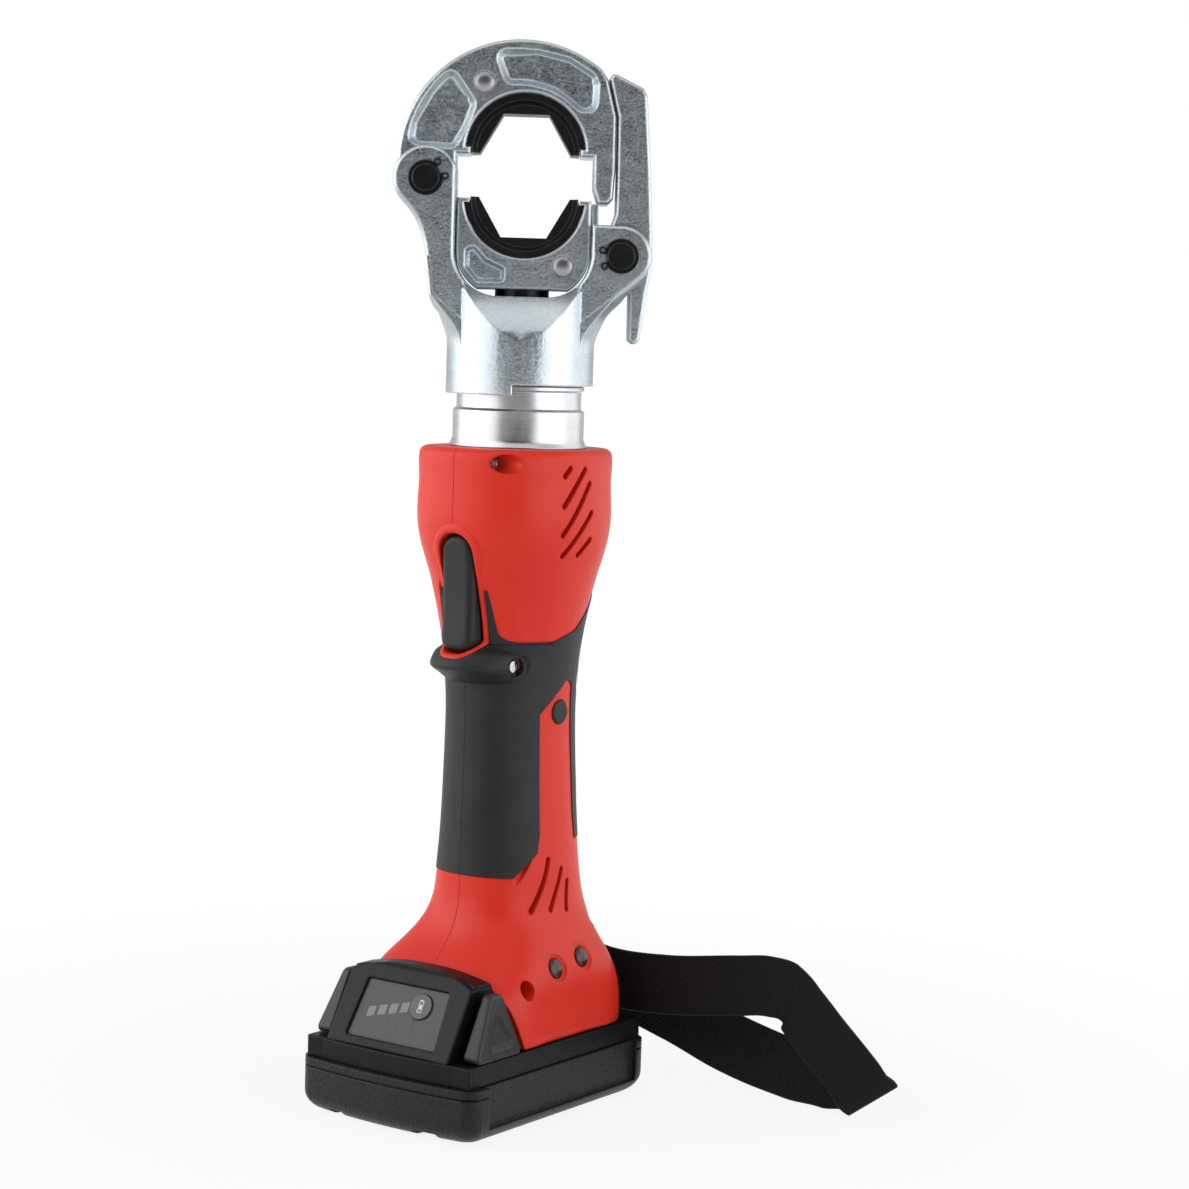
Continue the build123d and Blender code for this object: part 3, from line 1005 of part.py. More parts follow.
with BuildPart() as upper_case:
    add(block((-PLATE_W / 2, PLATE_FRONT, CASE_TOP), (PLATE_W / 2, PLATE_BACK, PLATE_TOP)))
    add(block((-RAIL_W / 2, RAIL_FRONT, PLATE_TOP), (RAIL_W / 2, RAIL_BACK, RAIL_TOP)))
    add(block((-RAIL_HEAD_W / 2, RAIL_FRONT, RAIL_STEP), (RAIL_HEAD_W / 2, RAIL_BACK, RAIL_TOP)))
    # Raised end: sloped front, arched top and a back face that follows the foot
    with BuildSketch(Plane.YZ):
        with BuildLine():
            Polyline((CAP_FOOT_Y, PLATE_TOP), (CAP_SLOPE_Y, CAP_SHOULDER_Z), (CAP_SLOPE_Y + 2.4, CAP_CROWN_Z),
                     (nose(CAP_CROWN_Z) - 0.5, CAP_CROWN_Z), (nose(PLATE_TOP) - 0.5, PLATE_TOP), close=True)
        make_face()
        fillet(vertices().filter_by_position(Axis.Y, CAP_SHOULDER_Z - 1, CAP_CROWN_Z + 1).sort_by(Axis.X)[0], 6)
        fillet(vertices().filter_by_position(Axis.Y, CAP_CROWN_Z - 0.1, CAP_CROWN_Z + 0.1).sort_by(Axis.X)[-1], 1)
    cap = extrude(amount=CAP_HALF, both=True)
    with BuildSketch(Plane.XZ):
        with BuildLine():
            arch = ThreePointArc((-CAP_HALF - 1, CAP_SIDE_Z), (0, CAP_CROWN_Z), (CAP_HALF + 1, CAP_SIDE_Z))
            Polyline(arch @ 1, (CAP_HALF + 1, 70), (-CAP_HALF - 1, 70), arch @ 0)
        make_face()
    extrude(amount=100, both=True, mode=Mode.SUBTRACT)
    # Room for the board and the gauge
    add(block((-ROOM_HALF, ROOM_FRONT, CASE_TOP - 1), (ROOM_HALF, ROOM_BACK, PLATE_ROOF)), mode=Mode.SUBTRACT)
    with BuildSketch(GAUGE_PLANE):
        Polygon(*gauge_outline(0), align=None)
    extrude(amount=-PANEL_T, mode=Mode.SUBTRACT)
    with BuildSketch(GAUGE_PLANE):
        with Locations((GAUGE_BUTTON_X, GAUGE_BUTTON_UP)):
            Circle(GAUGE_BUTTON_R + RUN)
    extrude(amount=-5.5, mode=Mode.SUBTRACT)
    # Slots for the contact blades, bores for the latch stems and the screws
    for x in BLADES_X:
        add(block((x - 1.2, BLADE_FRONT - 2, BLADE_LOW - 0.7), (x + 1.2, RAIL_BACK + 1, RAIL_TOP + 1)), mode=Mode.SUBTRACT)
    for side in (-1, 1):
        add(rod((side * STEM_BORE_IN, STEM_Y, STEM_Z), (side * 40, STEM_Y, STEM_Z), STEM_R + RUN), mode=Mode.SUBTRACT)
    for x, y in CASE_SCREWS:
        add(rod((x, y, CASE_TOP - 1), (x, y, PLATE_ROOF + 1), CASE_SCREW_R + 0.02), mode=Mode.SUBTRACT)
save(upper_case.part, "battery_upper_case", turned=True)

with BuildPart() as gauge_panel:
    with BuildSketch(GAUGE_PLANE.offset(-PANEL_T)):
        Polygon(*gauge_outline(0.15), align=None)
        with Locations((GAUGE_BUTTON_X, GAUGE_BUTTON_UP)):
            Circle(GAUGE_BUTTON_R + 0.15, mode=Mode.SUBTRACT)
    extrude(amount=PANEL_T - 0.2)
save(gauge_panel.part, "gauge_panel", turned=True)

with BuildPart() as gauge_button:
    with BuildSketch(GAUGE_PLANE.offset(0.5 - GAUGE_BUTTON_LEN)):
        with Locations((GAUGE_BUTTON_X, GAUGE_BUTTON_UP)):
            Circle(GAUGE_BUTTON_R)
    extrude(amount=GAUGE_BUTTON_LEN)
    fillet(gauge_button.edges().filter_by(GeomType.CIRCLE).sort_by(Axis.Y)[0], 0.4)
save(gauge_button.part, "gauge_button", turned=True)


# Latch buttons: wedges beside the raised end, each on a stem with a spring behind it
def latch_button(side):
    """Latch button of one side with a dished face and its stem."""
    with BuildPart() as button:
        with BuildSketch(Plane.YZ.offset(side * LATCH_IN)):
            with BuildLine():
                Polyline((-58.5, PLATE_TOP + SLIDE), (nose(PLATE_TOP) - 3.0, PLATE_TOP + SLIDE),
                         (nose(CAP_SHOULDER_Z) - 3.0, CAP_SHOULDER_Z), (-50.5, CAP_SHOULDER_Z + 1), close=True)
            make_face()
            fillet(vertices(), 1.6)
        extrude(amount=side * (LATCH_OUT - LATCH_IN))
        chamfer(button.faces().sort_by(Axis.X)[-1 if side > 0 else 0].edges(), 0.8)
        with BuildSketch(Plane.YZ.offset(side * LATCH_OUT)):
            with BuildLine():
                Polyline((-54.0, PLATE_TOP + 3.5), (nose(PLATE_TOP + 4) - 7.0, PLATE_TOP + 3.5), (-49.4, CAP_SHOULDER_Z - 4),
                         close=True)
            make_face()
            fillet(vertices(), 1.6)
        extrude(amount=-side * 1.4, taper=30, mode=Mode.SUBTRACT)
        add(rod((side * STEM_IN, STEM_Y, STEM_Z), (side * (LATCH_IN + 1), STEM_Y, STEM_Z), STEM_R))
    return button.part


def latch_spring_of(side):
    """Spring in the bore behind a latch button's stem."""
    length = STEM_IN - STEM_BORE_IN - 0.2
    place = Plane((side * (STEM_BORE_IN + 0.1), STEM_Y, STEM_Z), z_dir=(side, 0, 0))
    return coil(1.6, 0.35, 6, length, place)


save(latch_button(-1), "left_latch_button", turned=True)
save(latch_button(1), "right_latch_button", turned=True)
save(latch_spring_of(-1), "left_latch_spring", turned=True)
save(latch_spring_of(1), "right_latch_spring", turned=True)

# Wrist strap: flat webbing round its pin, out in a loop, folded over and back
with BuildPart() as strap:
    for index, (place, across) in enumerate(STRAP):
        before = STRAP[max(index - 1, 0)][0]
        after = STRAP[min(index + 1, len(STRAP) - 1)][0]
        way = (Vector(*after) - Vector(*before)).normalized()
        wide = Vector(*across).normalized()
        with BuildSketch(Plane(place, x_dir=wide, z_dir=way - wide * way.dot(wide))):
            Rectangle(STRAP_W, STRAP_T)
    loft(ruled=True)
save(strap.part, "wrist_strap", turned=True)
save(rod((0, STRAP_PIN_Y, STRAP_LOW - 1.1), (0, STRAP_PIN_Y, STRAP_TOP + 2.4), STRAP_PIN_R), "strap_pin", turned=True)
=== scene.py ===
"""Looks of a battery hydraulic crimping tool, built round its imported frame.

Lengths are metres in the frame's axes: +Z runs up the ram and -Y comes out of the head's face.
The handle and the battery are turned under the head, so their details are worked out in the
handle's own axes and turned at the end.
"""

import json
import logging
from dataclasses import dataclass, field
from enum import Enum
from math import cos, pi, radians, sin
from typing import Any

import bmesh
import bpy
import numpy as np
from mathutils import Matrix, Vector

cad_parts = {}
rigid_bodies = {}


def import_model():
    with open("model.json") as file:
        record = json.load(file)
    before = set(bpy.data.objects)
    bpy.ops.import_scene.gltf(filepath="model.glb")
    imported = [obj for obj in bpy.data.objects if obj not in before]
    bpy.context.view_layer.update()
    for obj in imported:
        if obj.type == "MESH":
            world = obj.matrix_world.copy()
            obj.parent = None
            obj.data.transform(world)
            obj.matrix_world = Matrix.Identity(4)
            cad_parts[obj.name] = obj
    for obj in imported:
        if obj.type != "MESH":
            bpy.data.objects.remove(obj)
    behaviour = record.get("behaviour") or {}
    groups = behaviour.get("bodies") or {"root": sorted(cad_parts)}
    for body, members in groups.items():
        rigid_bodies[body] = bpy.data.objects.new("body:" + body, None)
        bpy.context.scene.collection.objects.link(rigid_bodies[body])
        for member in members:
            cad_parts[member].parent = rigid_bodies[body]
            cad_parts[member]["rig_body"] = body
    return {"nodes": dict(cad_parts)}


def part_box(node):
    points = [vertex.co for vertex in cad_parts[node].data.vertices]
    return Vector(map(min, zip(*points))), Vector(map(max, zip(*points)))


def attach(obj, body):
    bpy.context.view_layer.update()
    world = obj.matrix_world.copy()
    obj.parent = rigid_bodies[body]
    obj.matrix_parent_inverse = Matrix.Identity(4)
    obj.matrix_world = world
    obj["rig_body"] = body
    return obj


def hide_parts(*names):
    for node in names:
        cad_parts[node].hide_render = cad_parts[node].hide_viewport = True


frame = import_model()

LOG = logging.getLogger("crimping_tool")
HANDLE_TURN = radians(-37.0)
MM = 0.001
SHARP_FROM = 35.0
Pair = tuple[float, float]
Triple = tuple[float, float, float]
Colour = Triple
Corners = tuple[Triple, ...]


class Value:
    """A shader value; arithmetic on it adds Math nodes."""

    def __init__(self, shader: "Shader", socket: bpy.types.NodeSocket) -> None:
        """Keep the output socket and the shader it belongs to."""
        self.shader = shader
        self.socket = socket

    def math(self, operation: str, *operands: "Value | float") -> "Value":
        """Add one Math node.

        Args:
            operation: Blender's name of the operation.
            operands: the values or numbers of its sockets, in order.

        Returns:
            The node's result.
        """
        return self.shader.node("ShaderNodeMath", {"operation": operation}, dict(enumerate(operands)))

    def __add__(self, other: "Value | float") -> "Value":
        """Sum."""
        return self.math("ADD", self, other)

    def __radd__(self, other: float) -> "Value":
        """Sum with a number on the left."""
        return self.math("ADD", other, self)

    def __sub__(self, other: "Value | float") -> "Value":
        """Difference."""
        return self.math("SUBTRACT", self, other)

    def __rsub__(self, other: float) -> "Value":
        """Difference from a number."""
        return self.math("SUBTRACT", other, self)

    def __mul__(self, other: "Value | float") -> "Value":
        """Product."""
        return self.math("MULTIPLY", self, other)

    def __rmul__(self, other: float) -> "Value":
        """Product with a number on the left."""
        return self.math("MULTIPLY", other, self)

    def __truediv__(self, other: "Value | float") -> "Value":
        """Quotient."""
        return self.math("DIVIDE", self, other)

    def __pow__(self, other: float) -> "Value":
        """Power."""
        return self.math("POWER", self, other)

    def wave(self) -> "Value":
        """Sine of the value."""
        return self.math("SINE", self)

    def size(self) -> "Value":
        """The value without its sign."""
        return self.math("ABSOLUTE", self)

    def whole(self) -> "Value":
        """The value rounded down."""
        return self.math("FLOOR", self)

    def between(self, low: float, high: float) -> "Value":
        """Rise from 0 at low to 1 at high, held outside.

        Args:
            low: value that gives 0.
            high: value that gives 1.

        Returns:
            The smooth rise.
        """
        return self.shader.node(
            "ShaderNodeMapRange",
            {"interpolation_type": "SMOOTHSTEP"},
            {"Value": self, "From Min": low, "From Max": high, "To Min": 0.0, "To Max": 1.0},
        )


class Shader:
    """A node tree with one method for any node and a few for the common ones."""

    def __init__(self, owner: bpy.types.Material | bpy.types.World) -> None:
        """Start from an empty tree.

        Args:
            owner: the material or world that the tree belongs to.
        """
        owner.use_nodes = True
        self.owner = owner
        self.tree = owner.node_tree
        self.tree.nodes.clear()

    def node(
        self,
        kind: str,
        settings: dict[str, Any] | None = None,
        inputs: dict[str | int, Any] | None = None,
        output: str | int = 0,
    ) -> Value | None:
        """Add any node.

        Args:
            kind: the node's type.
            settings: its properties, set first.
            inputs: numbers, colours or values of its sockets.
            output: the socket that is returned.

        Returns:
            The chosen output as a value, or nothing where the node has none.
        """
        made = self.tree.nodes.new(kind)
        for key, setting in (settings or {}).items():
            setattr(made, key, setting)
        for key, given in (inputs or {}).items():
            if isinstance(given, Value):
                self.tree.links.new(given.socket, made.inputs[key])
            else:
                made.inputs[key].default_value = given
        return Value(self, made.outputs[output]) if made.outputs else None

    def place(self, scale: Triple = (1.0, 1.0, 1.0), turn: Triple = (0.0, 0.0, 0.0)) -> Value:
        """Object coordinates, stretched and turned.

        Args:
            scale: stretch along each axis.
            turn: turn about each axis in degrees.

        Returns:
            The coordinates.
        """
        own = self.node("ShaderNodeTexCoord", output="Object")
        angles = tuple(radians(angle) for angle in turn)
        return self.node("ShaderNodeMapping", None, {"Vector": own, "Scale": scale, "Rotation": angles})

    def noise(
        self, scale: float, detail: float = 3.0, rough: float = 0.5, where: Value | None = None
    ) -> Value:
        """Cloudy noise from 0 to 1.

        Args:
            scale: waves to the metre.
            detail: how many finer layers are added.
            rough: share of each finer layer.
            where: coordinates, the object's own if left out.

        Returns:
            The noise's value.
        """
        given = {"Vector": where or self.place(), "Scale": scale, "Detail": detail, "Roughness": rough}
        return self.node("ShaderNodeTexNoise", None, given)

    def cells(self, scale: float, where: Value | None = None) -> Value:
        """Distance from the nearest of scattered points.

        Args:
            scale: points to the metre.
            where: coordinates, the object's own if left out.

        Returns:
            The distance.
        """
        return self.node("ShaderNodeTexVoronoi", None, {"Vector": where or self.place(), "Scale": scale})

    def mix(self, share: Value | float, first: Value | Colour, second: Value | Colour) -> Value:
        """Blend two colours.

        Args:
            share: share of the second colour.
            first: colour at 0.
            second: colour at 1.

        Returns:
            The blended colour.
        """
        ends = [c if isinstance(c, Value) else (*c, 1.0) for c in (first, second)]
        return self.node("ShaderNodeMix", {"data_type": "RGBA"}, {0: share, 6: ends[0], 7: ends[1]}, 2)

    def edges(self, radius: float) -> tuple[Value, Value]:
        """Rounded normals at the edges, and how far they turn from the flat ones.

        Args:
            radius: size of the rounding.

        Returns:
            The rounded normal, and a mask that rises to 1 on the edges.
        """
        soft = self.node("ShaderNodeBevel", {"samples": 6}, {"Radius": radius})
        flat = self.node("ShaderNodeNewGeometry", output="Normal")
        same = self.node("ShaderNodeVectorMath", {"operation": "DOT_PRODUCT"}, {0: soft, 1: flat}, "Value")
        return soft, (1.0 - same).between(0.02, 0.3)

    def open_sky(self, reach: float) -> Value:
        """How open the surface lies, from 0 deep in a hollow to 1 on a plain face.

        Args:
            reach: how far away a wall still counts.

        Returns:
            The openness.
        """
        kept = {"samples": 4, "only_local": True}
        return self.node("ShaderNodeAmbientOcclusion", kept, {"Distance": reach}, "AO")

    def bump(self, height: Value, strength: float, depth: float, normal: Value | None = None) -> Value:
        """Small relief on the surface.

        Args:
            height: the relief from 0 to 1.
            strength: how much of it shows.
            depth: its depth in metres.
            normal: the normal below it.

        Returns:
            The bumped normal.
        """
        given = {"Height": height, "Strength": strength, "Distance": depth}
        if normal is not None:
            given["Normal"] = normal
        return self.node("ShaderNodeBump", None, given)

    def surface(self, **sockets: Any) -> bpy.types.Material:
        """Finish the material with one Principled shader.

        Args:
            sockets: its sockets, named with _ for a space.

        Returns:
            The material.
        """
        given = {}
        for key, value in sockets.items():
            name = " ".join(word if word == "IOR" else word.capitalize() for word in key.split("_"))
            given[name] = (*value, 1.0) if isinstance(value, tuple) else value
        principled = self.node("ShaderNodeBsdfPrincipled", None, given)
        self.node("ShaderNodeOutputMaterial", None, {"Surface": principled})
        return self.owner


@dataclass(frozen=True)
class Finish:
    """What every finish has: a name, its main colour and how rough it is."""

    name: str
    colour: Colour
    rough: float

    def start(self) -> Shader:
        """An empty shader of the finish's name."""
        return Shader(bpy.data.materials.new(self.name))

    def material(self) -> bpy.types.Material:
        """The finished material."""
        raise NotImplementedError


@dataclass(frozen=True)
class PlatedForging(Finish):
    """Zinc plated forging: blasted grain, painted shade in the hollows, and edges paled by wear and painted
    highlight.
    """

    # bluish colour of the painted shade in the hollows
    painted_hollow_shade: Colour = (0.40, 0.50, 0.57)
    warm: Colour = (0.60, 0.62, 0.58)
    # pale colour of the grain's bright specks and of the edges, where it is rubbed wear and painted highlight
    wear_and_highlight: Colour = (0.95, 0.95, 0.96)
    grain: float = 1000.0
    grain_depth: float = 0.00032
    edge: float = 0.0011

    def material(self) -> bpy.types.Material:
        """Grain over broader waves, under a colour that drifts and turns cool and dim in the hollows as
        painted shade.
        """
        s = self.start()
        soft, rim = s.edges(self.edge)
        drift = s.noise(42.0, 4.0, 0.6)
        waves = s.noise(self.grain * 0.22, 3.0, 0.55)
        grain = s.noise(self.grain, 3.0, 0.62)
        # painted shade: the colour turns cooler and a little darker where the surface lies in a hollow
        hollow = 1.0 - s.open_sky(0.006).between(0.55, 0.95)
        colour = s.mix(drift.between(0.45, 0.75) * 0.45, self.colour, self.warm)
        colour = s.mix(hollow * 0.75, colour, self.painted_hollow_shade)
        colour = s.mix(grain.between(0.55, 0.70) * 0.22, colour, self.wear_and_highlight)
        colour = s.mix(grain.between(0.46, 0.32) * 0.28, colour, tuple(0.55 * c for c in self.colour))
        # painted highlight on the edges, partly rubbed wear
        colour = s.mix(rim * 0.7, colour, self.wear_and_highlight)
        rough = self.rough + (waves - 0.5) * 0.2 + (grain - 0.5) * 0.3 - rim * 0.08
        relief = s.bump(waves * 0.45 + grain * 0.55, 0.55, self.grain_depth, soft)
        return s.surface(base_color=colour, roughness=rough, metallic=1.0, normal=relief)


@dataclass(frozen=True)
class TurnedMetal(Finish):
    """Lathe turned metal with fine rings round its axis."""

    rings: float = 2600.0
    ring_depth: float = 0.00006
    edge: float = 0.0004
    # pale colour of the edges, rubbed wear and painted highlight
    wear_and_highlight: Colour = (0.95, 0.95, 0.95)

    def material(self) -> bpy.types.Material:
        """Noise that runs only along the axis gives the rings."""
        s = self.start()
        soft, rim = s.edges(self.edge)
        along = s.place((0.0, 0.0, 1.0))
        ring = s.noise(self.rings, 2.0, 0.6, along)
        broad = s.noise(self.rings * 0.12, 2.0, 0.5, along)
        smear = s.noise(90.0, 3.0)
        colour = s.mix(broad * 0.6 + smear * 0.2, self.colour, tuple(0.72 * c for c in self.colour))
        # painted highlight on the edges, partly rubbed wear
        colour = s.mix(rim * 0.5, colour, self.wear_and_highlight)
        rough = self.rough + (ring - 0.5) * 0.18 + (smear - 0.5) * 0.1
        relief = s.bump(ring, 0.35, self.ring_depth, soft)
        return s.surface(base_color=colour, roughness=rough, metallic=1.0, normal=relief)


@dataclass(frozen=True)
class BlackenedSteel(Finish):
    """Phosphated or blackened steel, greyer where it is handled."""

    wear_and_highlight: Colour = (0.16, 0.16, 0.165)
    metal: float = 0.55
    edge: float = 0.0005
    grain_depth: float = 0.00004

    def material(self) -> bpy.types.Material:
        """A dark fine grained coat with grey edges."""
        s = self.start()
        soft, rim = s.edges(self.edge)
        cloud = s.noise(160.0, 4.0, 0.6)
        grain = s.noise(3200.0, 2.0)
        colour = s.mix(cloud.between(0.4, 0.8) * 0.5, self.colour, tuple(1.9 * c for c in self.colour))
        colour = s.mix(rim * (0.4 + cloud * 0.5), colour, self.wear_and_highlight)
        rough = self.rough + (cloud - 0.5) * 0.2 + (grain - 0.5) * 0.12
        relief = s.bump(grain, 0.3, self.grain_depth, soft)
        return s.surface(
            base_color=colour, roughness=rough, metallic=self.metal, normal=relief, specular_IOR_level=0.3)


@dataclass(frozen=True)
class MouldedPlastic(Finish):
    """Injection moulded plastic with an eroded grain, a little handling shine and scuffs."""

    grain: float = 2400.0
    grain_depth: float = 0.00005
    scuff: Colour = (0.30, 0.05, 0.04)
    scuffs: float = 0.25
    edge: float = 0.0006
    shine: float = 0.3
    relief: float = 0.35

    def material(self) -> bpy.types.Material:
        """Fine noise gives the grain, stretched noise the scuffs."""
        s = self.start()
        soft, rim = s.edges(self.edge)
        drift = s.noise(22.0, 3.0)
        grain = s.noise(self.grain, 2.0, 0.55)
        marks = s.noise(60.0, 5.0, 0.7, s.place((1.0, 1.0, 0.35), (12.0, 20.0, 35.0)))
        paler = tuple(min(1.0, 1.12 * c + 0.004) for c in self.colour)
        colour = s.mix(drift, self.colour, paler)
        colour = s.mix(marks.between(0.66, 0.82) * self.scuffs, colour, self.scuff)
        rough = self.rough + (grain - 0.5) * 0.16 + (drift - 0.5) * 0.10 - rim * 0.06
        relief = s.bump(grain, self.relief, self.grain_depth, soft)
        return s.surface(base_color=colour, roughness=rough, normal=relief, specular_IOR_level=self.shine)


@dataclass(frozen=True)
class SoftRubber(Finish):
    """Rubber moulded over the shell: matt, slightly dusty, with a pebbled grain."""

    dust: Colour = (0.05, 0.051, 0.053)
    pebble: float = 1500.0
    pebble_depth: float = 0.00006
    edge: float = 0.0006

    def material(self) -> bpy.types.Material:
        """Cells give the pebbles, broad noise the dust."""
        s = self.start()
        soft, rim = s.edges(self.edge)
        cloud = s.noise(45.0, 4.0, 0.6)
        pebble = s.cells(self.pebble)
        colour = s.mix(cloud.between(0.35, 0.85) * 0.35 + rim * 0.15, self.colour, self.dust)
        rough = self.rough + (cloud - 0.5) * 0.16 + pebble * 0.06
        relief = s.bump(pebble, 0.3, self.pebble_depth, soft)
        return s.surface(base_color=colour, roughness=rough, normal=relief, specular_IOR_level=0.3)


@dataclass(frozen=True)
class GlossPlastic(Finish):
    """Smooth gloss plastic with faint smears."""

    edge: float = 0.0003

    def material(self) -> bpy.types.Material:
        """Smears change the roughness and make the colour a little paler, as the edges do."""
        s = self.start()
        soft, rim = s.edges(self.edge)
        smear = s.noise(120.0, 4.0, 0.6)
        paler = tuple(min(1.0, 1.3 * c + 0.01) for c in self.colour)
        colour = s.mix(smear * 0.5 + rim * 0.3, self.colour, paler)
        rough = self.rough + smear * 0.14
        return s.surface(base_color=colour, roughness=rough, normal=soft, specular_IOR_level=0.35)


@dataclass(frozen=True)
class IndicatorLens(Finish):
    """Smoky lens over an unlit lamp."""

    def material(self) -> bpy.types.Material:
        """Cloudy dark colour with a soft shine."""
        s = self.start()
        cloud = s.noise(500.0, 3.0)
        colour = s.mix(cloud, self.colour, tuple(2.2 * c for c in self.colour))
        return s.surface(base_color=colour, roughness=self.rough + cloud * 0.1, specular_IOR_level=0.5)


@dataclass(frozen=True)
class WovenWebbing(Finish):
    """Nylon webbing: columns of bumps, each half a row on from the last, along the piece's own UV map."""

    column: float = 0.00125
    row: float = 0.0017
    relief: float = 0.0004

    def material(self) -> bpy.types.Material:
        """Bumps are the product of a sine across and a sine along, shifted half a row on every column."""
        s = self.start()
        flat = s.node("ShaderNodeUVMap", {"uv_map": "weave"})
        across = s.node("ShaderNodeSeparateXYZ", None, {0: flat}, "X")
        along = s.node("ShaderNodeSeparateXYZ", None, {0: flat}, "Y")
        step = across / self.column
        shift = step.whole() * 0.5
        bead = (step * pi).wave().size() * ((along / self.row + shift) * pi).wave().size()
        fuzz = s.noise(2600.0, 3.0, 0.6)
        thread = bead ** 0.6
        colour = s.mix(thread * 0.8 + fuzz * 0.2, tuple(0.35 * c for c in self.colour), self.colour)
        relief = s.bump(thread * 0.85 + fuzz * 0.15, 0.9, self.relief)
        rough = self.rough + fuzz * 0.15
        return s.surface(base_color=colour, roughness=rough, normal=relief, specular_IOR_level=0.2)


class Coat(Enum):
    """The tool's finishes."""

    PLATED = PlatedForging("zinc_plated_forging", (0.455, 0.505, 0.54), 0.34)
    DIE = BlackenedSteel("phosphated_die", (0.009, 0.009, 0.010), 0.40, (0.20, 0.20, 0.205), 0.4)
    PIN = BlackenedSteel("blackened_pin", (0.010, 0.010, 0.011), 0.36, (0.16, 0.16, 0.165), 0.4)
    BUTTON = TurnedMetal("turned_button", (0.42, 0.42, 0.43), 0.34, 1800.0)
    RAM = BlackenedSteel("ram_steel", (0.016, 0.016, 0.018), 0.3, (0.25, 0.25, 0.26), 0.8)
    SPRING = TurnedMetal("spring_wire", (0.38, 0.38, 0.39), 0.32)
    NECK = TurnedMetal("turned_neck", (0.60, 0.605, 0.62), 0.30, ring_depth=0.00012)
    STEEL = TurnedMetal("machined_steel", (0.6, 0.61, 0.62), 0.26)
    SEAL = SoftRubber("seal_rubber", (0.018, 0.018, 0.018), 0.6)
    RED = MouldedPlastic("red_shell", (0.70, 0.027, 0.011), 0.40, edge=0.0009, shine=0.28)
    GRIP = SoftRubber("grip_rubber", (0.0115, 0.0118, 0.0126), 0.48)
    TRIGGER = MouldedPlastic(
        "trigger_plastic", (0.0080, 0.0082, 0.0088), 0.46, 3000.0, scuff=(0.04, 0.04, 0.04), edge=0.0016)
    SWITCH = MouldedPlastic("switch_plastic", (0.03, 0.03, 0.032), 0.5, scuff=(0.07, 0.07, 0.07))
    LENS = IndicatorLens("indicator_lens", (0.030, 0.007, 0.006), 0.2)
    BOARD = GlossPlastic("lacquered_board", (0.02, 0.12, 0.05), 0.35)
    CONTACT = TurnedMetal("contact_brass", (0.66, 0.47, 0.2), 0.3)
    PACK = MouldedPlastic(
        "battery_plastic", (0.0108, 0.0110, 0.0112), 0.38, 1000.0, 0.00040,
        (0.03, 0.03, 0.03), 0.35, 0.0009, 0.22, 0.9)
    CAP = MouldedPlastic(
        "battery_cap", (0.0042, 0.0043, 0.0045), 0.32, 1300.0, 0.00018,
        (0.02, 0.02, 0.02), 0.3, 0.0012, 0.16, 0.6)
    # the latch's grey stands above the other black plastics partly as its own colour and partly as painted
    # highlight
    LATCH = MouldedPlastic(
        "latch_plastic", (0.0230, 0.0233, 0.0235), 0.34, 2600.0, 0.00004,
        (0.04, 0.04, 0.04), 0.3, 0.0012, 0.30)
    GAUGE = MouldedPlastic(
        "gauge_panel", (0.062, 0.062, 0.063), 0.42, 3600.0, 0.00002, (0.06, 0.06, 0.06), 0.2)
    KEY = GlossPlastic("gauge_key", (0.075, 0.076, 0.078), 0.25)
    MARK = GlossPlastic("printed_mark", (0.20, 0.205, 0.205), 0.4)
    FAINT_MARK = GlossPlastic("faint_mark", (0.12, 0.122, 0.124), 0.4)
    PALE_MARK = GlossPlastic("pale_mark", (0.70, 0.71, 0.71), 0.4)
    CELL = GlossPlastic("cell_sleeve", (0.05, 0.2, 0.14), 0.3)
    WEBBING = WovenWebbing("nylon_webbing", (0.0065, 0.0065, 0.0072), 0.6)


class Paintbox:
    """Makes each finish once."""

    def __init__(self) -> None:
        """Start with no materials made."""
        self.made: dict[Coat, bpy.types.Material] = {}

    def get(self, coat: Coat) -> bpy.types.Material:
        """The material of a finish, made when it is first asked for."""
        if coat not in self.made:
            self.made[coat] = coat.value.material()
        return self.made[coat]


PAINT = Paintbox()


def turned(points: np.ndarray) -> np.ndarray:
    """Points of the handle's axes in the frame: turned about Z by the handle's angle.

    Args:
        points: array whose last axis holds x, y and z.

    Returns:
        Array of the same shape.
    """
    c, s = cos(HANDLE_TURN), sin(HANDLE_TURN)
    return points @ np.array([[c, s, 0.0], [-s, c, 0.0], [0.0, 0.0, 1.0]])


def straightened(points: np.ndarray) -> np.ndarray:
    """Points of the frame in the handle's axes, the way back from turned."""
    c, s = cos(HANDLE_TURN), sin(HANDLE_TURN)
    return points @ np.array([[c, -s, 0.0], [s, c, 0.0], [0.0, 0.0, 1.0]])


def unit(vectors: np.ndarray) -> np.ndarray:
    """Vectors made one long."""
    return vectors / np.linalg.norm(vectors, axis=-1, keepdims=True)


def band_faces(rows: int, columns: int, closed: bool) -> np.ndarray:
    """Quads of a grid of points, counted row by row.

    Args:
        rows: points along.
        columns: points across.
        closed: whether the last column joins the first.

    Returns:
        Array of four point numbers a quad.
    """
    row = np.arange(rows - 1)[:, None] * columns
    column = np.arange(columns if closed else columns - 1)[None, :]
    after = (column + 1) % columns
    quads = np.stack([row + column, row + after, row + columns + after, row + columns + column], -1)
    return quads.reshape(-1, 4)


def new_piece(name: str, points: np.ndarray, faces: list[list[int]], smooth: bool = True) -> bpy.types.Object:
    """A mesh object at the origin from points and faces.

    Args:
        name: the piece's name.
        points: its points, one a row.
        faces: lists of point numbers.
        smooth: whether it is shaded smooth.

    Returns:
        The new object.
    """
    mesh = bpy.data.meshes.new(name)
    mesh.from_pydata(points.tolist(), [], faces)
    mesh.polygons.foreach_set("use_smooth", np.full(len(mesh.polygons), smooth))
    mesh.update()
    made = bpy.data.objects.new(name, mesh)
    bpy.context.scene.collection.objects.link(made)
    return made


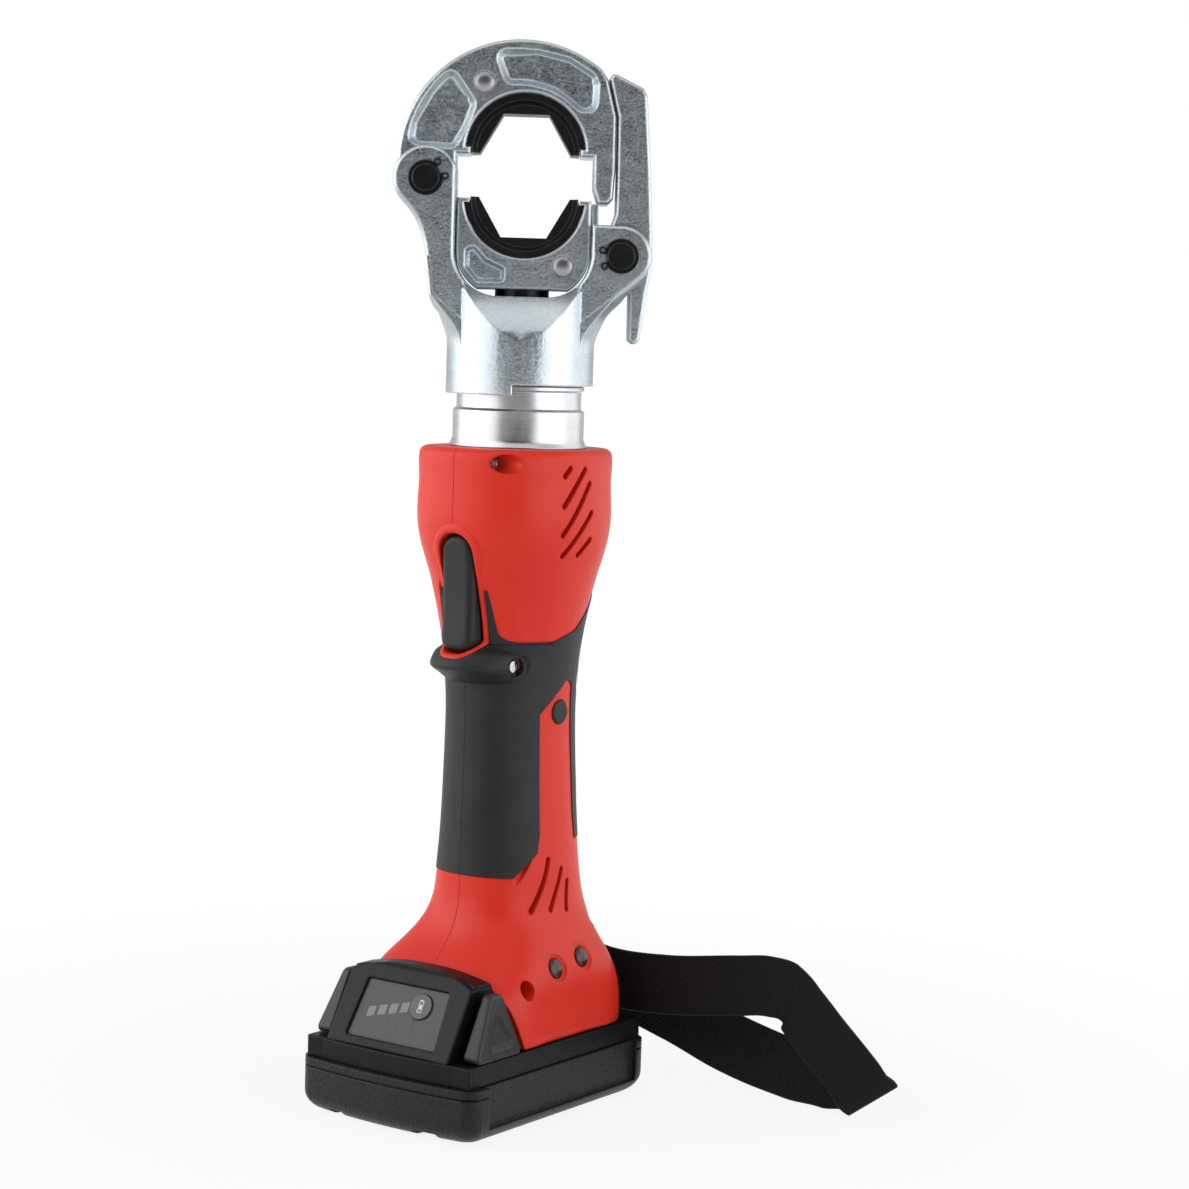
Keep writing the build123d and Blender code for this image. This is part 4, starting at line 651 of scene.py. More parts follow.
def slab(name: str, upper: np.ndarray, lower: np.ndarray) -> bpy.types.Object:
    """A closed piece between two grids of points.

    Args:
        name: the piece's name.
        upper: grid of rows by columns by x, y and z.
        lower: the grid on its other side.

    Returns:
        The new object, with its faces turned outwards.
    """
    rows, columns = upper.shape[:2]
    top = band_faces(rows, columns, False)
    under = rows * columns
    index = np.arange(under).reshape(rows, columns)
    rim = np.concatenate([index[0, :-1], index[:-1, -1], index[-1, :0:-1], index[:0:-1, 0]])
    after = np.roll(rim, -1)
    walls = np.stack([rim, rim + under, after + under, after], -1)
    faces = np.concatenate([top, top[:, ::-1] + under, walls])
    piece = new_piece(name, np.concatenate([upper.reshape(-1, 3), lower.reshape(-1, 3)]), faces.tolist())
    face_out(piece)
    return piece


def face_out(piece: bpy.types.Object) -> None:
    """Turn a closed piece's faces outwards."""
    shape = bmesh.new()
    shape.from_mesh(piece.data)
    bmesh.ops.recalc_face_normals(shape, faces=shape.faces)
    shape.to_mesh(piece.data)
    shape.free()


def rounded(corners: np.ndarray, radii: np.ndarray, steps: int = 8) -> np.ndarray:
    """An outline whose corners are arcs.

    Each arc's centre lies on the corner's bisector, a radius from both sides, and its points turn evenly
    from one side to the other.

    Args:
        corners: corners in order, one a row.
        radii: radius at each corner.
        steps: points of each arc.

    Returns:
        Points of the outline, one a row.
    """
    before, after = unit(np.roll(corners, 1, 0) - corners), unit(np.roll(corners, -1, 0) - corners)
    half = np.arccos(np.clip((before * after).sum(1), -1.0, 1.0))[:, None] / 2
    centre = corners + unit(before + after) * radii[:, None] / np.sin(half)
    first = unit(corners + before * radii[:, None] / np.tan(half) - centre)
    last = unit(corners + after * radii[:, None] / np.tan(half) - centre)
    share, sweep = np.linspace(0.0, 1.0, steps)[None, :, None], (np.pi - 2 * half)[:, None, :]
    way = np.sin((1 - share) * sweep) * first[:, None] + np.sin(share * sweep) * last[:, None]
    return (centre[:, None] + radii[:, None, None] * (way / np.sin(sweep))).reshape(-1, 2)


def closed(rings: np.ndarray, turn: bool = True) -> bpy.types.Object:
    """A closed piece through rings of points, with a flat face at each end.

    Args:
        rings: rings by points by x, y and z, in millimetres.
        turn: whether they are in the handle's axes.

    Returns:
        The new object, with its faces turned outwards.
    """
    rows, columns = rings.shape[:2]
    points = rings.reshape(-1, 3) * MM
    ends = [list(range(columns)), list(range((rows - 1) * columns, rows * columns))]
    faces = band_faces(rows, columns, True).tolist() + ends
    piece = new_piece("form", turned(points) if turn else points, faces)
    face_out(piece)
    return piece


def hoop(rings: np.ndarray) -> bpy.types.Object:
    """A closed piece like a tyre: its rings of points follow one another, and the last joins the first.

    Args:
        rings: rings by points by x, y and z, in millimetres of the handle's axes.

    Returns:
        The new object, with its faces turned outwards.
    """
    rows, columns = rings.shape[:2]
    faces = band_faces(rows + 1, columns, True) % (rows * columns)
    piece = new_piece("form", turned(rings.reshape(-1, 3) * MM), faces.tolist())
    face_out(piece)
    return piece


def circle(count: int) -> np.ndarray:
    """Points of a circle of radius 1, one a row."""
    turn = np.linspace(0.0, 2 * np.pi, count, endpoint=False)
    return np.column_stack([np.cos(turn), np.sin(turn)])


def rectangle(left: float, right: float, low: float, high: float) -> np.ndarray:
    """Corners of a rectangle, turning left, one a row."""
    return np.array([(left, low), (right, low), (right, high), (left, high)])


def prism(outline: np.ndarray, axis: int, low: float, high: float, turn: bool = True) -> bpy.types.Object:
    """A bar: an outline carried along one axis.

    Args:
        outline: points in the plane of the two other axes, in millimetres.
        axis: 0, 1 or 2 for X, Y or Z.
        low: where it starts.
        high: where it ends.
        turn: whether it is in the handle's axes.

    Returns:
        The new object.
    """
    return closed(np.stack([np.insert(outline, axis, end, axis=1) for end in (low, high)]), turn)


def carve(piece: bpy.types.Object, tool: bpy.types.Object, operation: str = "DIFFERENCE") -> None:
    """Cut a piece with a tool, or keep what lies in both, and remove the tool.

    Args:
        piece: what is cut.
        tool: the closed form that cuts.
        operation: what a Boolean modifier calls it.
    """
    cut = piece.modifiers.new("cut", "BOOLEAN")
    cut.object, cut.operation, cut.solver = tool, operation, "EXACT"
    graph = bpy.context.evaluated_depsgraph_get()
    mesh = bpy.data.meshes.new_from_object(piece.evaluated_get(graph))
    piece.modifiers.clear()
    piece.data = mesh
    bpy.data.objects.remove(tool)


def shade(piece: bpy.types.Object, angle: float) -> None:
    """Shade a piece smooth up to an angle in degrees, with even normals on flat faces."""
    mesh = piece.data
    mesh.polygons.foreach_set("use_smooth", np.full(len(mesh.polygons), True))
    mesh.set_sharp_from_angle(angle=radians(angle))
    even = piece.modifiers.new("even_shading", "WEIGHTED_NORMAL")
    even.keep_sharp = True
    even.weight = 80


def paint(piece: bpy.types.Object, coat: Coat) -> None:
    """Give a piece one finish all over."""
    piece.data.materials.clear()
    piece.data.materials.append(PAINT.get(coat))


def fit_out(piece: bpy.types.Object, name: str, coat: Coat, like: str, stands_for: bool = True) -> None:
    """Name, shade and paint a piece that was made here, and let it ride with a frame node.

    Args:
        piece: the new piece.
        name: its name.
        coat: its finish.
        like: the node whose body it rides with.
        stands_for: whether it stands for that node.
    """
    piece.name = piece.data.name = name
    shade(piece, SHARP_FROM)
    paint(piece, coat)
    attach(piece, frame["nodes"][like]["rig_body"])
    if stands_for:
        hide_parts(like)
    LOG.info("added %s", piece.name)


class Skin:
    """Outside of the handle: square-cornered ovals whose sizes run smoothly with the height."""

    def __init__(self, rows: tuple[tuple[float, ...], ...]) -> None:
        """Set the sections.

        Args:
            rows: height, half width, front, back and squareness of each section, in millimetres.
        """
        table = np.array(rows)
        self.height, self.size = table[:, 0], table[:, 1:]
        rate = np.diff(self.size, axis=0) / np.diff(self.height)[:, None]
        product, total = rate[:-1] * rate[1:], rate[:-1] + rate[1:]
        inner = np.where(product > 0, 2 * product / np.where(total == 0, 1.0, total), 0.0)
        self.slope = np.pad(inner, ((1, 1), (0, 0)))

    def at(self, height: np.ndarray) -> list[np.ndarray]:
        """Half width, front, back and squareness at heights, on cubics that never overshoot."""
        height = np.clip(height, self.height[0], self.height[-1])
        row = np.clip(np.searchsorted(self.height, height, "right") - 1, 0, len(self.height) - 2)
        rise = (self.height[row + 1] - self.height[row])[..., None]
        t = (height - self.height[row])[..., None] / rise
        start, end = self.slope[row] * rise, self.slope[row + 1] * rise
        gain = self.size[row + 1] - self.size[row]
        square, cube = 3 * gain - 2 * start - end, start + end - 2 * gain
        value = self.size[row] + t * start + t**2 * square + t**3 * cube
        return list(np.moveaxis(value, -1, 0))

    def front(self, across: np.ndarray, height: np.ndarray) -> np.ndarray:
        """Front of the skin at places across and heights."""
        half, front, back, power = self.at(height)
        share = np.clip(1.0 - np.abs(across / half) ** power, 0.0, 1.0) ** (1.0 / power)
        return (front + back) / 2 - (back - front) / 2 * share

    def rings(self, heights: np.ndarray, columns: int) -> np.ndarray:
        """Rings of points round the skin at heights."""
        half, front, back, power = (value[:, None] for value in self.at(heights))
        angle = np.linspace(0.0, 2 * np.pi, columns, endpoint=False)[None, :]
        across, along = np.sin(angle), np.cos(angle)
        reach = (np.abs(across) ** power + np.abs(along) ** power) ** (-1.0 / power)
        return np.stack([across * reach * half, (front + back) / 2 + along * reach * (back - front) / 2,
                         np.repeat(heights[:, None], columns, 1)], -1)

    def pressed_in(self, points: np.ndarray, proud: float) -> np.ndarray:
        """Points outside the skin drawn back to it along their ovals.

        Args:
            points: points in millimetres of the handle's axes.
            proud: how far over the skin they may stay.

        Returns:
            Array of the same shape.
        """
        half, front, back, power = self.at(points[:, 2])
        middle, deep, wide = (front + back) / 2, (back - front) / 2 + proud, half + proud
        across, along = points[:, 0], points[:, 1] - middle
        reach = (np.abs(across / wide) ** power + np.abs(along / deep) ** power) ** (1 / power)
        share = 1.0 / np.maximum(reach, 1.0)
        return np.stack([across * share, middle + along * share, points[:, 2]], -1)


class NodeDress:
    """Dresses one frame node, or a merged smooth copy of it, with a finish."""

    sharp_from = 32.0
    proud = 0.35
    same_point = 2e-6

    def __init__(self, node: str, coat: Coat, smooth: bool = True) -> None:
        """Choose how a node is shown.

        Args:
            node: the node's name.
            coat: its finish.
            smooth: whether a smooth copy stands for it.
        """
        self.node = node
        self.coat = coat
        self.smooth = smooth

    def press(self, mesh: bpy.types.Mesh, skin: Skin) -> None:
        """Draw what stands outside a skin back to it, in a copy's mesh."""
        points = np.empty(len(mesh.vertices) * 3)
        mesh.vertices.foreach_get("co", points)
        flat = skin.pressed_in(straightened(points.reshape(-1, 3)) / MM, self.proud)
        mesh.vertices.foreach_set("co", turned(flat * MM).ravel())
        mesh.update()

    def build(self, tools: tuple[bpy.types.Object, ...] = (), skin: Skin | None = None) -> bpy.types.Object:
        """Dress the node.

        Args:
            tools: forms that are cut out of its copy.
            skin: a skin that its copy is drawn back to.

        Returns:
            The object that is shown.
        """
        source = frame["nodes"][self.node]
        if not self.smooth:
            paint(source, self.coat)
            return source
        mesh = source.data.copy()
        mesh.name = f"{self.node}_shown"
        if "custom_normal" in mesh.attributes:
            mesh.attributes.remove(mesh.attributes["custom_normal"])
        shape = bmesh.new()
        shape.from_mesh(mesh)
        bmesh.ops.remove_doubles(shape, verts=shape.verts, dist=self.same_point)
        shape.to_mesh(mesh)
        shape.free()
        if skin:
            self.press(mesh, skin)
        shown = bpy.data.objects.new(f"{self.node}_shown", mesh)
        bpy.context.scene.collection.objects.link(shown)
        for tool in tools:
            carve(shown, tool)
        shade(shown, self.sharp_from)
        paint(shown, self.coat)
        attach(shown, source["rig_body"])
        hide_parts(self.node)
        return shown


@dataclass
class SubAssembly:
    """A group of pieces; each kind lists the nodes that it dresses."""

    shown: dict[str, Coat] = field(default_factory=dict)
    hidden: dict[str, Coat] = field(default_factory=dict)

    def build(self) -> None:
        """Dress the listed nodes and add the details."""
        for node, coat in self.shown.items():
            LOG.info("dressed %s", NodeDress(node, coat).build(self.tools(node), self.skins(node)).name)
        for node, coat in self.hidden.items():
            LOG.info("painted %s", NodeDress(node, coat, smooth=False).build().name)
        self.details()

    def details(self) -> None:
        """Add pieces that the frame doesn't have; none by default."""

    def tools(self, node: str) -> tuple[bpy.types.Object, ...]:
        """Forms cut out of a node's copy; none by default."""
        return ()

    def skins(self, node: str) -> Skin | None:
        """Skin that a node's copy is drawn back to; none by default."""
        return None


@dataclass
class CrimpHead(SubAssembly):
    """Yoke, jaw, latch, dies, pins and ram.

    The sizes of the forms made here are millimetres in the frame's axes.
    """

    shown: dict[str, Coat] = field(default_factory=lambda: {
        "head_yoke": Coat.PLATED, "upper_jaw": Coat.PLATED, "latch_lever": Coat.PLATED,
        "die_carrier": Coat.PLATED, "upper_die": Coat.DIE, "lower_die": Coat.DIE,
        "upper_die_button": Coat.BUTTON, "lower_die_button": Coat.BUTTON,
        "hinge_pin": Coat.PIN, "latch_pin": Coat.PIN, "hinge_pin_clips": Coat.PIN,
        "latch_pin_clips": Coat.PIN, "ram_rod": Coat.RAM,
    })
    hidden: dict[str, Coat] = field(default_factory=lambda: {
        "piston": Coat.RAM, "piston_seal": Coat.SEAL, "return_spring": Coat.SPRING,
        "latch_spring": Coat.SPRING, "upper_button_spring": Coat.SPRING,
        "lower_button_spring": Coat.SPRING,
    })
    scoop_arc: tuple[Triple, Triple] = ((26.9, 23.1, 11.0), (273.2, 282.2, 294.0))
    scoop_half: float = 21.5
    scoop_rise: float = 21.0
    scoop_widens: float = 17.0
    scoop_top: float = 320.0
    scoop_section: tuple[Pair, ...] = (
        (0.0, 0.0), (0.5, 0.1), (0.74, 0.7), (0.9, 2.6), (1.0, 6.0), (1.25, 30.0))
    jaw_half: float = 10.0
    pocket_deep: float = 2.5
    pocket_lean: float = 0.9
    pocket_rim: Pair = (0.2, 0.1)
    pocket_foot: Pair = (0.3, 0.5)
    crown_pocket: Corners = (
        (-12.6, 377.2, 3.6), (0.8, 377.4, 25.0), (14.0, 374.4, 25.0), (25.5, 367.2, 3.8),
        (25.0, 355.4, 3.8), (18.4, 356.0, 3.8), (13.6, 360.2, 20.0), (7.5, 363.4, 20.0),
        (0.0, 364.9, 20.0), (-7.6, 364.7, 3.6),
    )
    flank_pocket: Corners = (
        (-26.6, 370.8, 3.5), (-17.6, 358.0, 3.5), (-20.4, 350.0, 20.0), (-25.0, 341.6, 3.5),
        (-42.2, 342.9, 3.5), (-40.8, 350.4, 30.0), (-37.6, 357.6, 30.0), (-33.0, 364.6, 30.0),
    )
    left_shoulder: Corners = (
        (-26.3, 264.0, 0.1), (-26.3, 275.6, 14.0), (-29.4, 284.4, 9.0), (-32.4, 289.8, 9.0),
        (-33.3, 297.6, 20.0), (-34.2, 304.0, 0.1), (-25.2, 304.0, 0.1), (-25.2, 295.0, 2.0),
        (-21.0, 289.6, 2.0), (-13.0, 288.0, 0.1), (-13.0, 264.0, 0.1),
    )
    right_shoulder: Corners = (
        (26.3, 264.0, 0.1), (26.3, 275.0, 14.0), (30.2, 284.4, 12.0), (37.0, 291.0, 9.0),
        (41.2, 296.0, 0.1), (34.0, 303.0, 0.1), (25.2, 303.0, 0.1), (25.2, 295.0, 2.0),
        (21.0, 289.6, 2.0), (13.0, 288.0, 0.1), (13.0, 264.0, 0.1),
    )
    shoulder_half: float = 15.96
    shoulder_levels: Pair = (262.0, 316.0)
    shoulder_bore: Triple = (21.6, 250.0, 284.6)
    swell_from: float = 277.0
    swell_radius: float = 26.05
    swell_soft: float = 12.0
    swell_lean: float = 1.34
    dome_radius: float = 3.63
    dome_foot: float = 0.65
    dome_tall: float = 1.15

    def scoop(self, side: float) -> bpy.types.Object:
        """Hollow in front of or behind the yoke's collar, as a form to cut away.

        At each height it is the room outside an arc from the collar up to the floor of the U, and its width
        grows from the collar as an ellipse does.

        Args:
            side: -1 in front, 1 behind.

        Returns:
            The closed form.
        """
        depth, height = (np.array(values) for values in self.scoop_arc)
        foot, end = height[0], height[-1]
        rises = np.append(foot + self.scoop_rise * np.linspace(0.02, 1.0, 30) ** 2, self.scoop_top)
        square = np.column_stack([2 * depth, 2 * height, np.ones(3)])
        middle_y, middle_z, rest = np.linalg.solve(square, depth**2 + height**2)
        within = np.minimum(rises, end)
        arc = middle_y + np.sqrt(rest + middle_y**2 + middle_z**2 - (within - middle_z) ** 2)
        narrow = 1.0 - np.clip((rises - foot) / self.scoop_widens, 0, 1)
        half = self.scoop_half * np.sqrt(np.clip(1.0 - narrow**2, 0, 1))
        right, drop = np.array(self.scoop_section).T
        share, sink = np.append(-right[:0:-1], right), np.append(drop[:0:-1], drop)
        across, deep = half[:, None] * share, arc[:, None] + sink
        return closed(np.stack([across, side * deep, np.repeat(rises[:, None], len(share), 1)], -1), False)

    def pocket(self, corners: Corners, side: float) -> bpy.types.Object:
        """Pocket with leaning walls in one face of the jaw, as a form to cut away.

        Args:
            corners: x, z and radius of each corner of its outline.
            side: -1 in front, 1 behind.

        Returns:
            The closed form.
        """
        table = np.array(corners)
        outline = rounded(table[:, :2], table[:, 2])
        along = unit(np.roll(outline, -1, 0) - np.roll(outline, 1, 0))
        x, z = outline.T
        area = np.sum(x * np.roll(z, -1) - np.roll(x, -1) * z)
        outward = np.column_stack([along[:, 1], -along[:, 0]]) * np.sign(area)
        floor, drawn = self.pocket_deep, self.pocket_deep * self.pocket_lean
        rim_deep, rim_in = self.pocket_rim
        foot_up, foot_out = self.pocket_foot
        layers = (
            (1.0, self.pocket_lean), (-rim_deep, -rim_in),
            (foot_up - floor, foot_out - drawn), (-floor, -drawn),
        )
        return closed(np.stack([
            np.insert(outline + grow * outward, 1, side * (self.jaw_half + out), axis=1)
            for out, grow in layers
        ]), False)

    def tools(self, node: str) -> tuple[bpy.types.Object, ...]:
        """Hollows of the yoke and pockets of the jaw."""
        if node == "head_yoke":
            return tuple(self.scoop(side) for side in (-1.0, 1.0))
        if node == "upper_jaw":
            return tuple(self.pocket(corners, side) for corners in (self.crown_pocket, self.flank_pocket)
                         for side in (-1.0, 1.0))
        return ()

    def shoulder(self, name: str, corners: Corners) -> None:
        """Make the blend from the collar into one arm.

        It is an outline carried through the yoke's thickness, kept inside a cone that swells smoothly from
        the collar, with the collar's bore and the hollows cut away.

        Args:
            name: the piece's name.
            corners: x, z and radius of each corner of its outline.
        """
        table = np.array(corners)
        blend = prism(rounded(table[:, :2], table[:, 2]), 1, -self.shoulder_half, self.shoulder_half, False)
        height = np.linspace(*self.shoulder_levels, 60)
        rise = height - self.swell_from
        radius = self.swell_radius + 0.5 * (rise + np.sqrt(rise**2 + self.swell_soft)) / self.swell_lean
        ring = circle(120)
        level = np.repeat(height[:, None, None], len(ring), 1)
        cone = np.concatenate([radius[:, None, None] * ring, level], -1)
        carve(blend, closed(cone, False), "INTERSECT")
        bore, low, high = self.shoulder_bore
        carve(blend, prism(bore * ring, 2, low, high, False))
        for side in (-1.0, 1.0):
            carve(blend, self.scoop(side))
        fit_out(blend, name, Coat.PLATED, "head_yoke", False)

    def dome(self, node: str) -> None:
        """Make the domed head of a die button: an ellipse turned round the button's axis."""
        low, high = (np.array(corner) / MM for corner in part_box(node))
        middle = (low + high) / 2
        bend, ring = np.linspace(0.0, 1.5, 10)[:, None], circle(40)
        radius = self.dome_radius * np.cos(bend)
        level = low[1] + self.dome_foot - self.dome_tall * np.sin(bend)
        rings = np.stack([middle[0] + radius * ring[:, 0], np.repeat(level, len(ring), 1),
                          middle[2] + radius * ring[:, 1]], -1)
        fit_out(closed(rings, False), f"{node}_dome", Coat.BUTTON, node, False)

    def details(self) -> None:
        """Add the shoulders under the arms and the heads of the die buttons."""
        self.shoulder("left_shoulder", self.left_shoulder)
        self.shoulder("right_shoulder", self.right_shoulder)
        self.dome("upper_die_button")
        self.dome("lower_die_button")


HANDLE_SECTIONS = (
    (61.0, 27.6, -34.0, 32.6, 3.0), (70.0, 24.2, -28.4, 31.2, 2.5), (85.0, 22.9, -27.0, 29.6, 2.2),
    (110.0, 21.5, -26.3, 28.0, 2.1), (142.0, 20.6, -26.0, 26.6, 2.1), (158.0, 21.6, -26.6, 26.8, 2.1),
    (174.0, 24.0, -28.2, 28.2, 2.15), (190.0, 27.6, -31.6, 31.2, 2.2), (204.0, 31.0, -35.4, 34.4, 2.3),
    (216.0, 32.0, -36.6, 35.2, 2.3), (237.0, 31.0, -36.0, 34.6, 2.3),
)
LIP_SECTIONS = (
    (152.0, 18.6, -25.6, 14.0, 2.1), (156.0, 18.4, -31.4, 12.0, 2.1), (159.8, 18.2, -37.6, 10.0, 2.1),
    (163.8, 17.6, -35.6, 10.0, 2.1), (167.4, 13.6, -31.4, 10.0, 2.1), (171.5, 11.5, -26.6, 10.0, 2.1),
)


@dataclass
class Handle(SubAssembly):
    """Neck, shells, grips, trigger, side button and the drive inside.

    The sizes of the forms made here are millimetres in the handle's axes, where -Y is the front.
    """

    shown: dict[str, Coat] = field(default_factory=lambda: {
        "hydraulic_cylinder": Coat.NECK, "left_shell": Coat.RED, "right_shell": Coat.RED,
        "left_grip": Coat.GRIP, "right_grip": Coat.GRIP,
        "release_button": Coat.TRIGGER, "shell_screws": Coat.STEEL,
    })
    hidden: dict[str, Coat] = field(default_factory=lambda: {
        "swivel_ring": Coat.STEEL, "stop_pin": Coat.STEEL, "trigger_pin": Coat.STEEL,
        "trigger_switch": Coat.SWITCH, "release_switch": Coat.SWITCH, "motor": Coat.STEEL,
        "gearbox": Coat.NECK, "pump_block": Coat.NECK, "pump_plunger": Coat.STEEL,
        "eccentric_shaft": Coat.STEEL, "shaft_bearings": Coat.STEEL, "oil_bladder": Coat.SEAL,
        "terminal_block": Coat.SWITCH, "contact_blades": Coat.CONTACT, "control_board": Coat.BOARD,
        "strap_pin": Coat.STEEL,
    })
    body: Skin = field(default_factory=lambda: Skin(HANDLE_SECTIONS[3:]))
    waist: Skin = field(default_factory=lambda: Skin(HANDLE_SECTIONS[:9]))
    lip: Skin = field(default_factory=lambda: Skin(LIP_SECTIONS))
    trigger_half: float = 7.0
    trigger_low: float = 164.8
    trigger_high: float = 206.6
    trigger_rounds: Pair = (5.4, 6.6)
    trigger_soft: float = 2.8
    trigger_front: tuple[Triple, Triple] = ((164.8, 184.0, 206.6), (-34.2, -33.7, -35.2))
    trigger_back: tuple[Triple, Triple] = ((164.8, 184.0, 206.6), (-26.6, -28.0, -28.8))
    trigger_pivot: Pair = (-30.4, 200.6)
    trigger_bore: Pair = (1.62, 20.0)
    rim_gap: float = 0.45
    rim_section: tuple[Pair, ...] = (
        (0.45, -6.0), (0.45, 0.1), (0.6, 0.5), (1.0, 0.62), (1.5, 0.5), (2.0, 0.15), (2.4, -1.2))
    rim_widens: Triple = (193.0, 7.0, 1.1)
    rim_root: float = 6.0
    lip_slot: Triple = (1.6, -60.0, -10.0)
    lip_hole: Pair = (-20.0, 160.0)
    lip_hole_radius: float = 3.6
    lip_hole_ends: Pair = (9.0, 60.0)
    # the first piece is a dark rubber floor that stands in for the shade deep in the hole, painted shade; the
    # second is the screw
    lip_fill: tuple[tuple[str, Coat, float, float, float], ...] = (
        ("lip_hole_painted_shade", Coat.GRIP, 3.57, 10.0, 15.5), ("lip_screw", Coat.STEEL, 2.1, 11.0, 16.1),
    )
    cover_rows: tuple[tuple[float, float, int], ...] = ((168.9, 173.0, 12), (174.0, 190.0, 14))
    cover_bend: Triple = (173.4, 4.5, 5.2)
    cover_near: Triple = (12.2, 1.4, 13.8)
    cover_far: float = 20.5
    cover_top: float = 190.0
    cover_fade: Pair = (0.3, 2.6)
    cover_lift: Pair = (0.48, 0.15)
    cover_thick: float = 1.0
    lens_places: tuple[Triple, Triple] = ((32.4, -9.4, 52.8), (32.0, 6.6, 54.4))
    lens_tilt: float = 20.0
    lens_radius: float = 3.6
    lens_root: float = -3.4
    lens_seat: float = -1.9
    lens_tall: float = 1.2
    lens_ring: tuple[Pair, ...] = (
        (5.8, -2.6), (5.8, -1.60), (4.8, -1.66), (3.95, -1.85), (3.65, -2.2), (3.65, -2.9))

    def skins(self, node: str) -> Skin | None:
        """Both grips are drawn back to the waist, because the finger lip is made here."""
        return self.waist if node in ("left_grip", "right_grip") else None

    def round_slot(self, inset: np.ndarray) -> tuple[np.ndarray, np.ndarray]:
        """Rings of an upright slot with round ends, each drawn in by an amount.

        A ring goes up the right side, a quarter circle at the foot, a straight run and a quarter circle at
        the top, and down the left side, so that its points pair across.

        Args:
            inset: how far each ring lies inside the slot, rings by one or rings by points.

        Returns:
            Places across and heights, rings by points.
        """
        foot, top = self.trigger_rounds
        angle = np.linspace(0.0, np.pi / 2, 10)
        low, high = self.trigger_low + foot, self.trigger_high - top
        run = np.linspace(low, high, 16)[1:-1]
        bend, plain = np.ones(len(angle)), np.ones(len(run))
        reach = np.concatenate([foot * bend, 0 * plain, top * bend])
        over = self.trigger_half - reach
        level = np.concatenate([low * bend, run, high * bend])
        out_x = np.concatenate([np.sin(angle), plain, np.cos(angle)])
        out_z = np.concatenate([-np.cos(angle), 0 * plain, np.sin(angle)])
        side = np.repeat([1.0, -1.0], len(over))
        over, level, out_x, out_z, reach = (
            np.concatenate([value, value[::-1]]) for value in (over, level, out_x, out_z, reach))
        return side * (over + out_x * (reach - inset)), level + out_z * (reach - inset)

    def surface(self, across: np.ndarray, height: np.ndarray) -> np.ndarray:
        """Front of the handle and its finger lip, whichever stands further out."""
        inside = (height > self.lip.height[0]) & (height < self.lip.height[-1])
        lip = np.where(inside, self.lip.front(across, height), 0.0)
        return np.minimum(self.body.front(across, height), lip)

    def pull(self) -> None:
        """Make the trigger: a bar with round ends whose front edges turn on a quarter circle."""
        turn = np.linspace(0.0, np.pi / 2, 8)
        inset, back = (
            np.append(0.0, self.trigger_soft * (1 - way(turn)))[:, None] for way in (np.cos, np.sin))
        across, height = self.round_slot(inset)
        deep = np.polyval(np.polyfit(*self.trigger_front, 2), height) + back
        deep[0] = np.interp(height[0], *self.trigger_back)
        rings = np.stack([across, deep, height], -1)
        rows, columns = rings.shape[:2]
        pairs = np.arange(columns // 2 - 1)
        strip = np.stack([pairs, columns - 1 - pairs, columns - 2 - pairs, pairs + 1], -1)
        faces = np.concatenate([band_faces(rows, columns, True), strip, strip + (rows - 1) * columns])
        bar = new_piece("form", turned(rings.reshape(-1, 3) * MM), faces.tolist())
        face_out(bar)
        radius, reach = self.trigger_bore
        carve(bar, prism(radius * circle(32) + self.trigger_pivot, 0, -reach, reach))
        fit_out(bar, "trigger_bar", Coat.TRIGGER, "trigger")

    def frame_rim(self) -> None:
        """Make the red rim round the trigger, a rounded strip on the handle's front and on the lip."""
        out, lift = (column[:, None] for column in np.array(self.rim_section).T)
        start, over, gain = self.rim_widens
        level = self.round_slot(np.zeros((1, 1)))[1]
        spread = 1.0 + gain * np.clip((level - start) / over, 0.0, 1.0)
        across, height = self.round_slot(-(self.rim_gap + (out - self.rim_gap) * spread))
        front = self.surface(across, height)
        rings = np.stack([across, front - lift, height], -1)
        root = np.stack([across[-1:], front[-1:] + self.rim_root, height[-1:]], -1)
        fit_out(hoop(np.concatenate([rings, root])), "trigger_rim", Coat.RED, "right_shell", False)

    def finger_lip(self) -> None:
        """Make the finger lip, ovals cut by the trigger's slot and a hole, and a dark painted-shade floor and
        a screw in it.
        """
        lip = closed(self.lip.rings(np.linspace(self.lip.height[0], self.lip.height[-1], 40), 96))
        gap, low, high = self.lip_slot
        across, height = self.round_slot(np.full((1, 1), -gap))
        carve(lip, prism(np.column_stack([across[0], height[0]]), 1, low, high))
        ring = circle(40)
        carve(lip, prism(ring * self.lip_hole_radius + self.lip_hole, 0, *self.lip_hole_ends))
        fit_out(lip, "finger_lip", Coat.GRIP, "right_grip", False)
        for name, coat, radius, low, high in self.lip_fill:
            fit_out(prism(ring * radius + self.lip_hole, 0, low, high), name, coat, "right_grip", False)

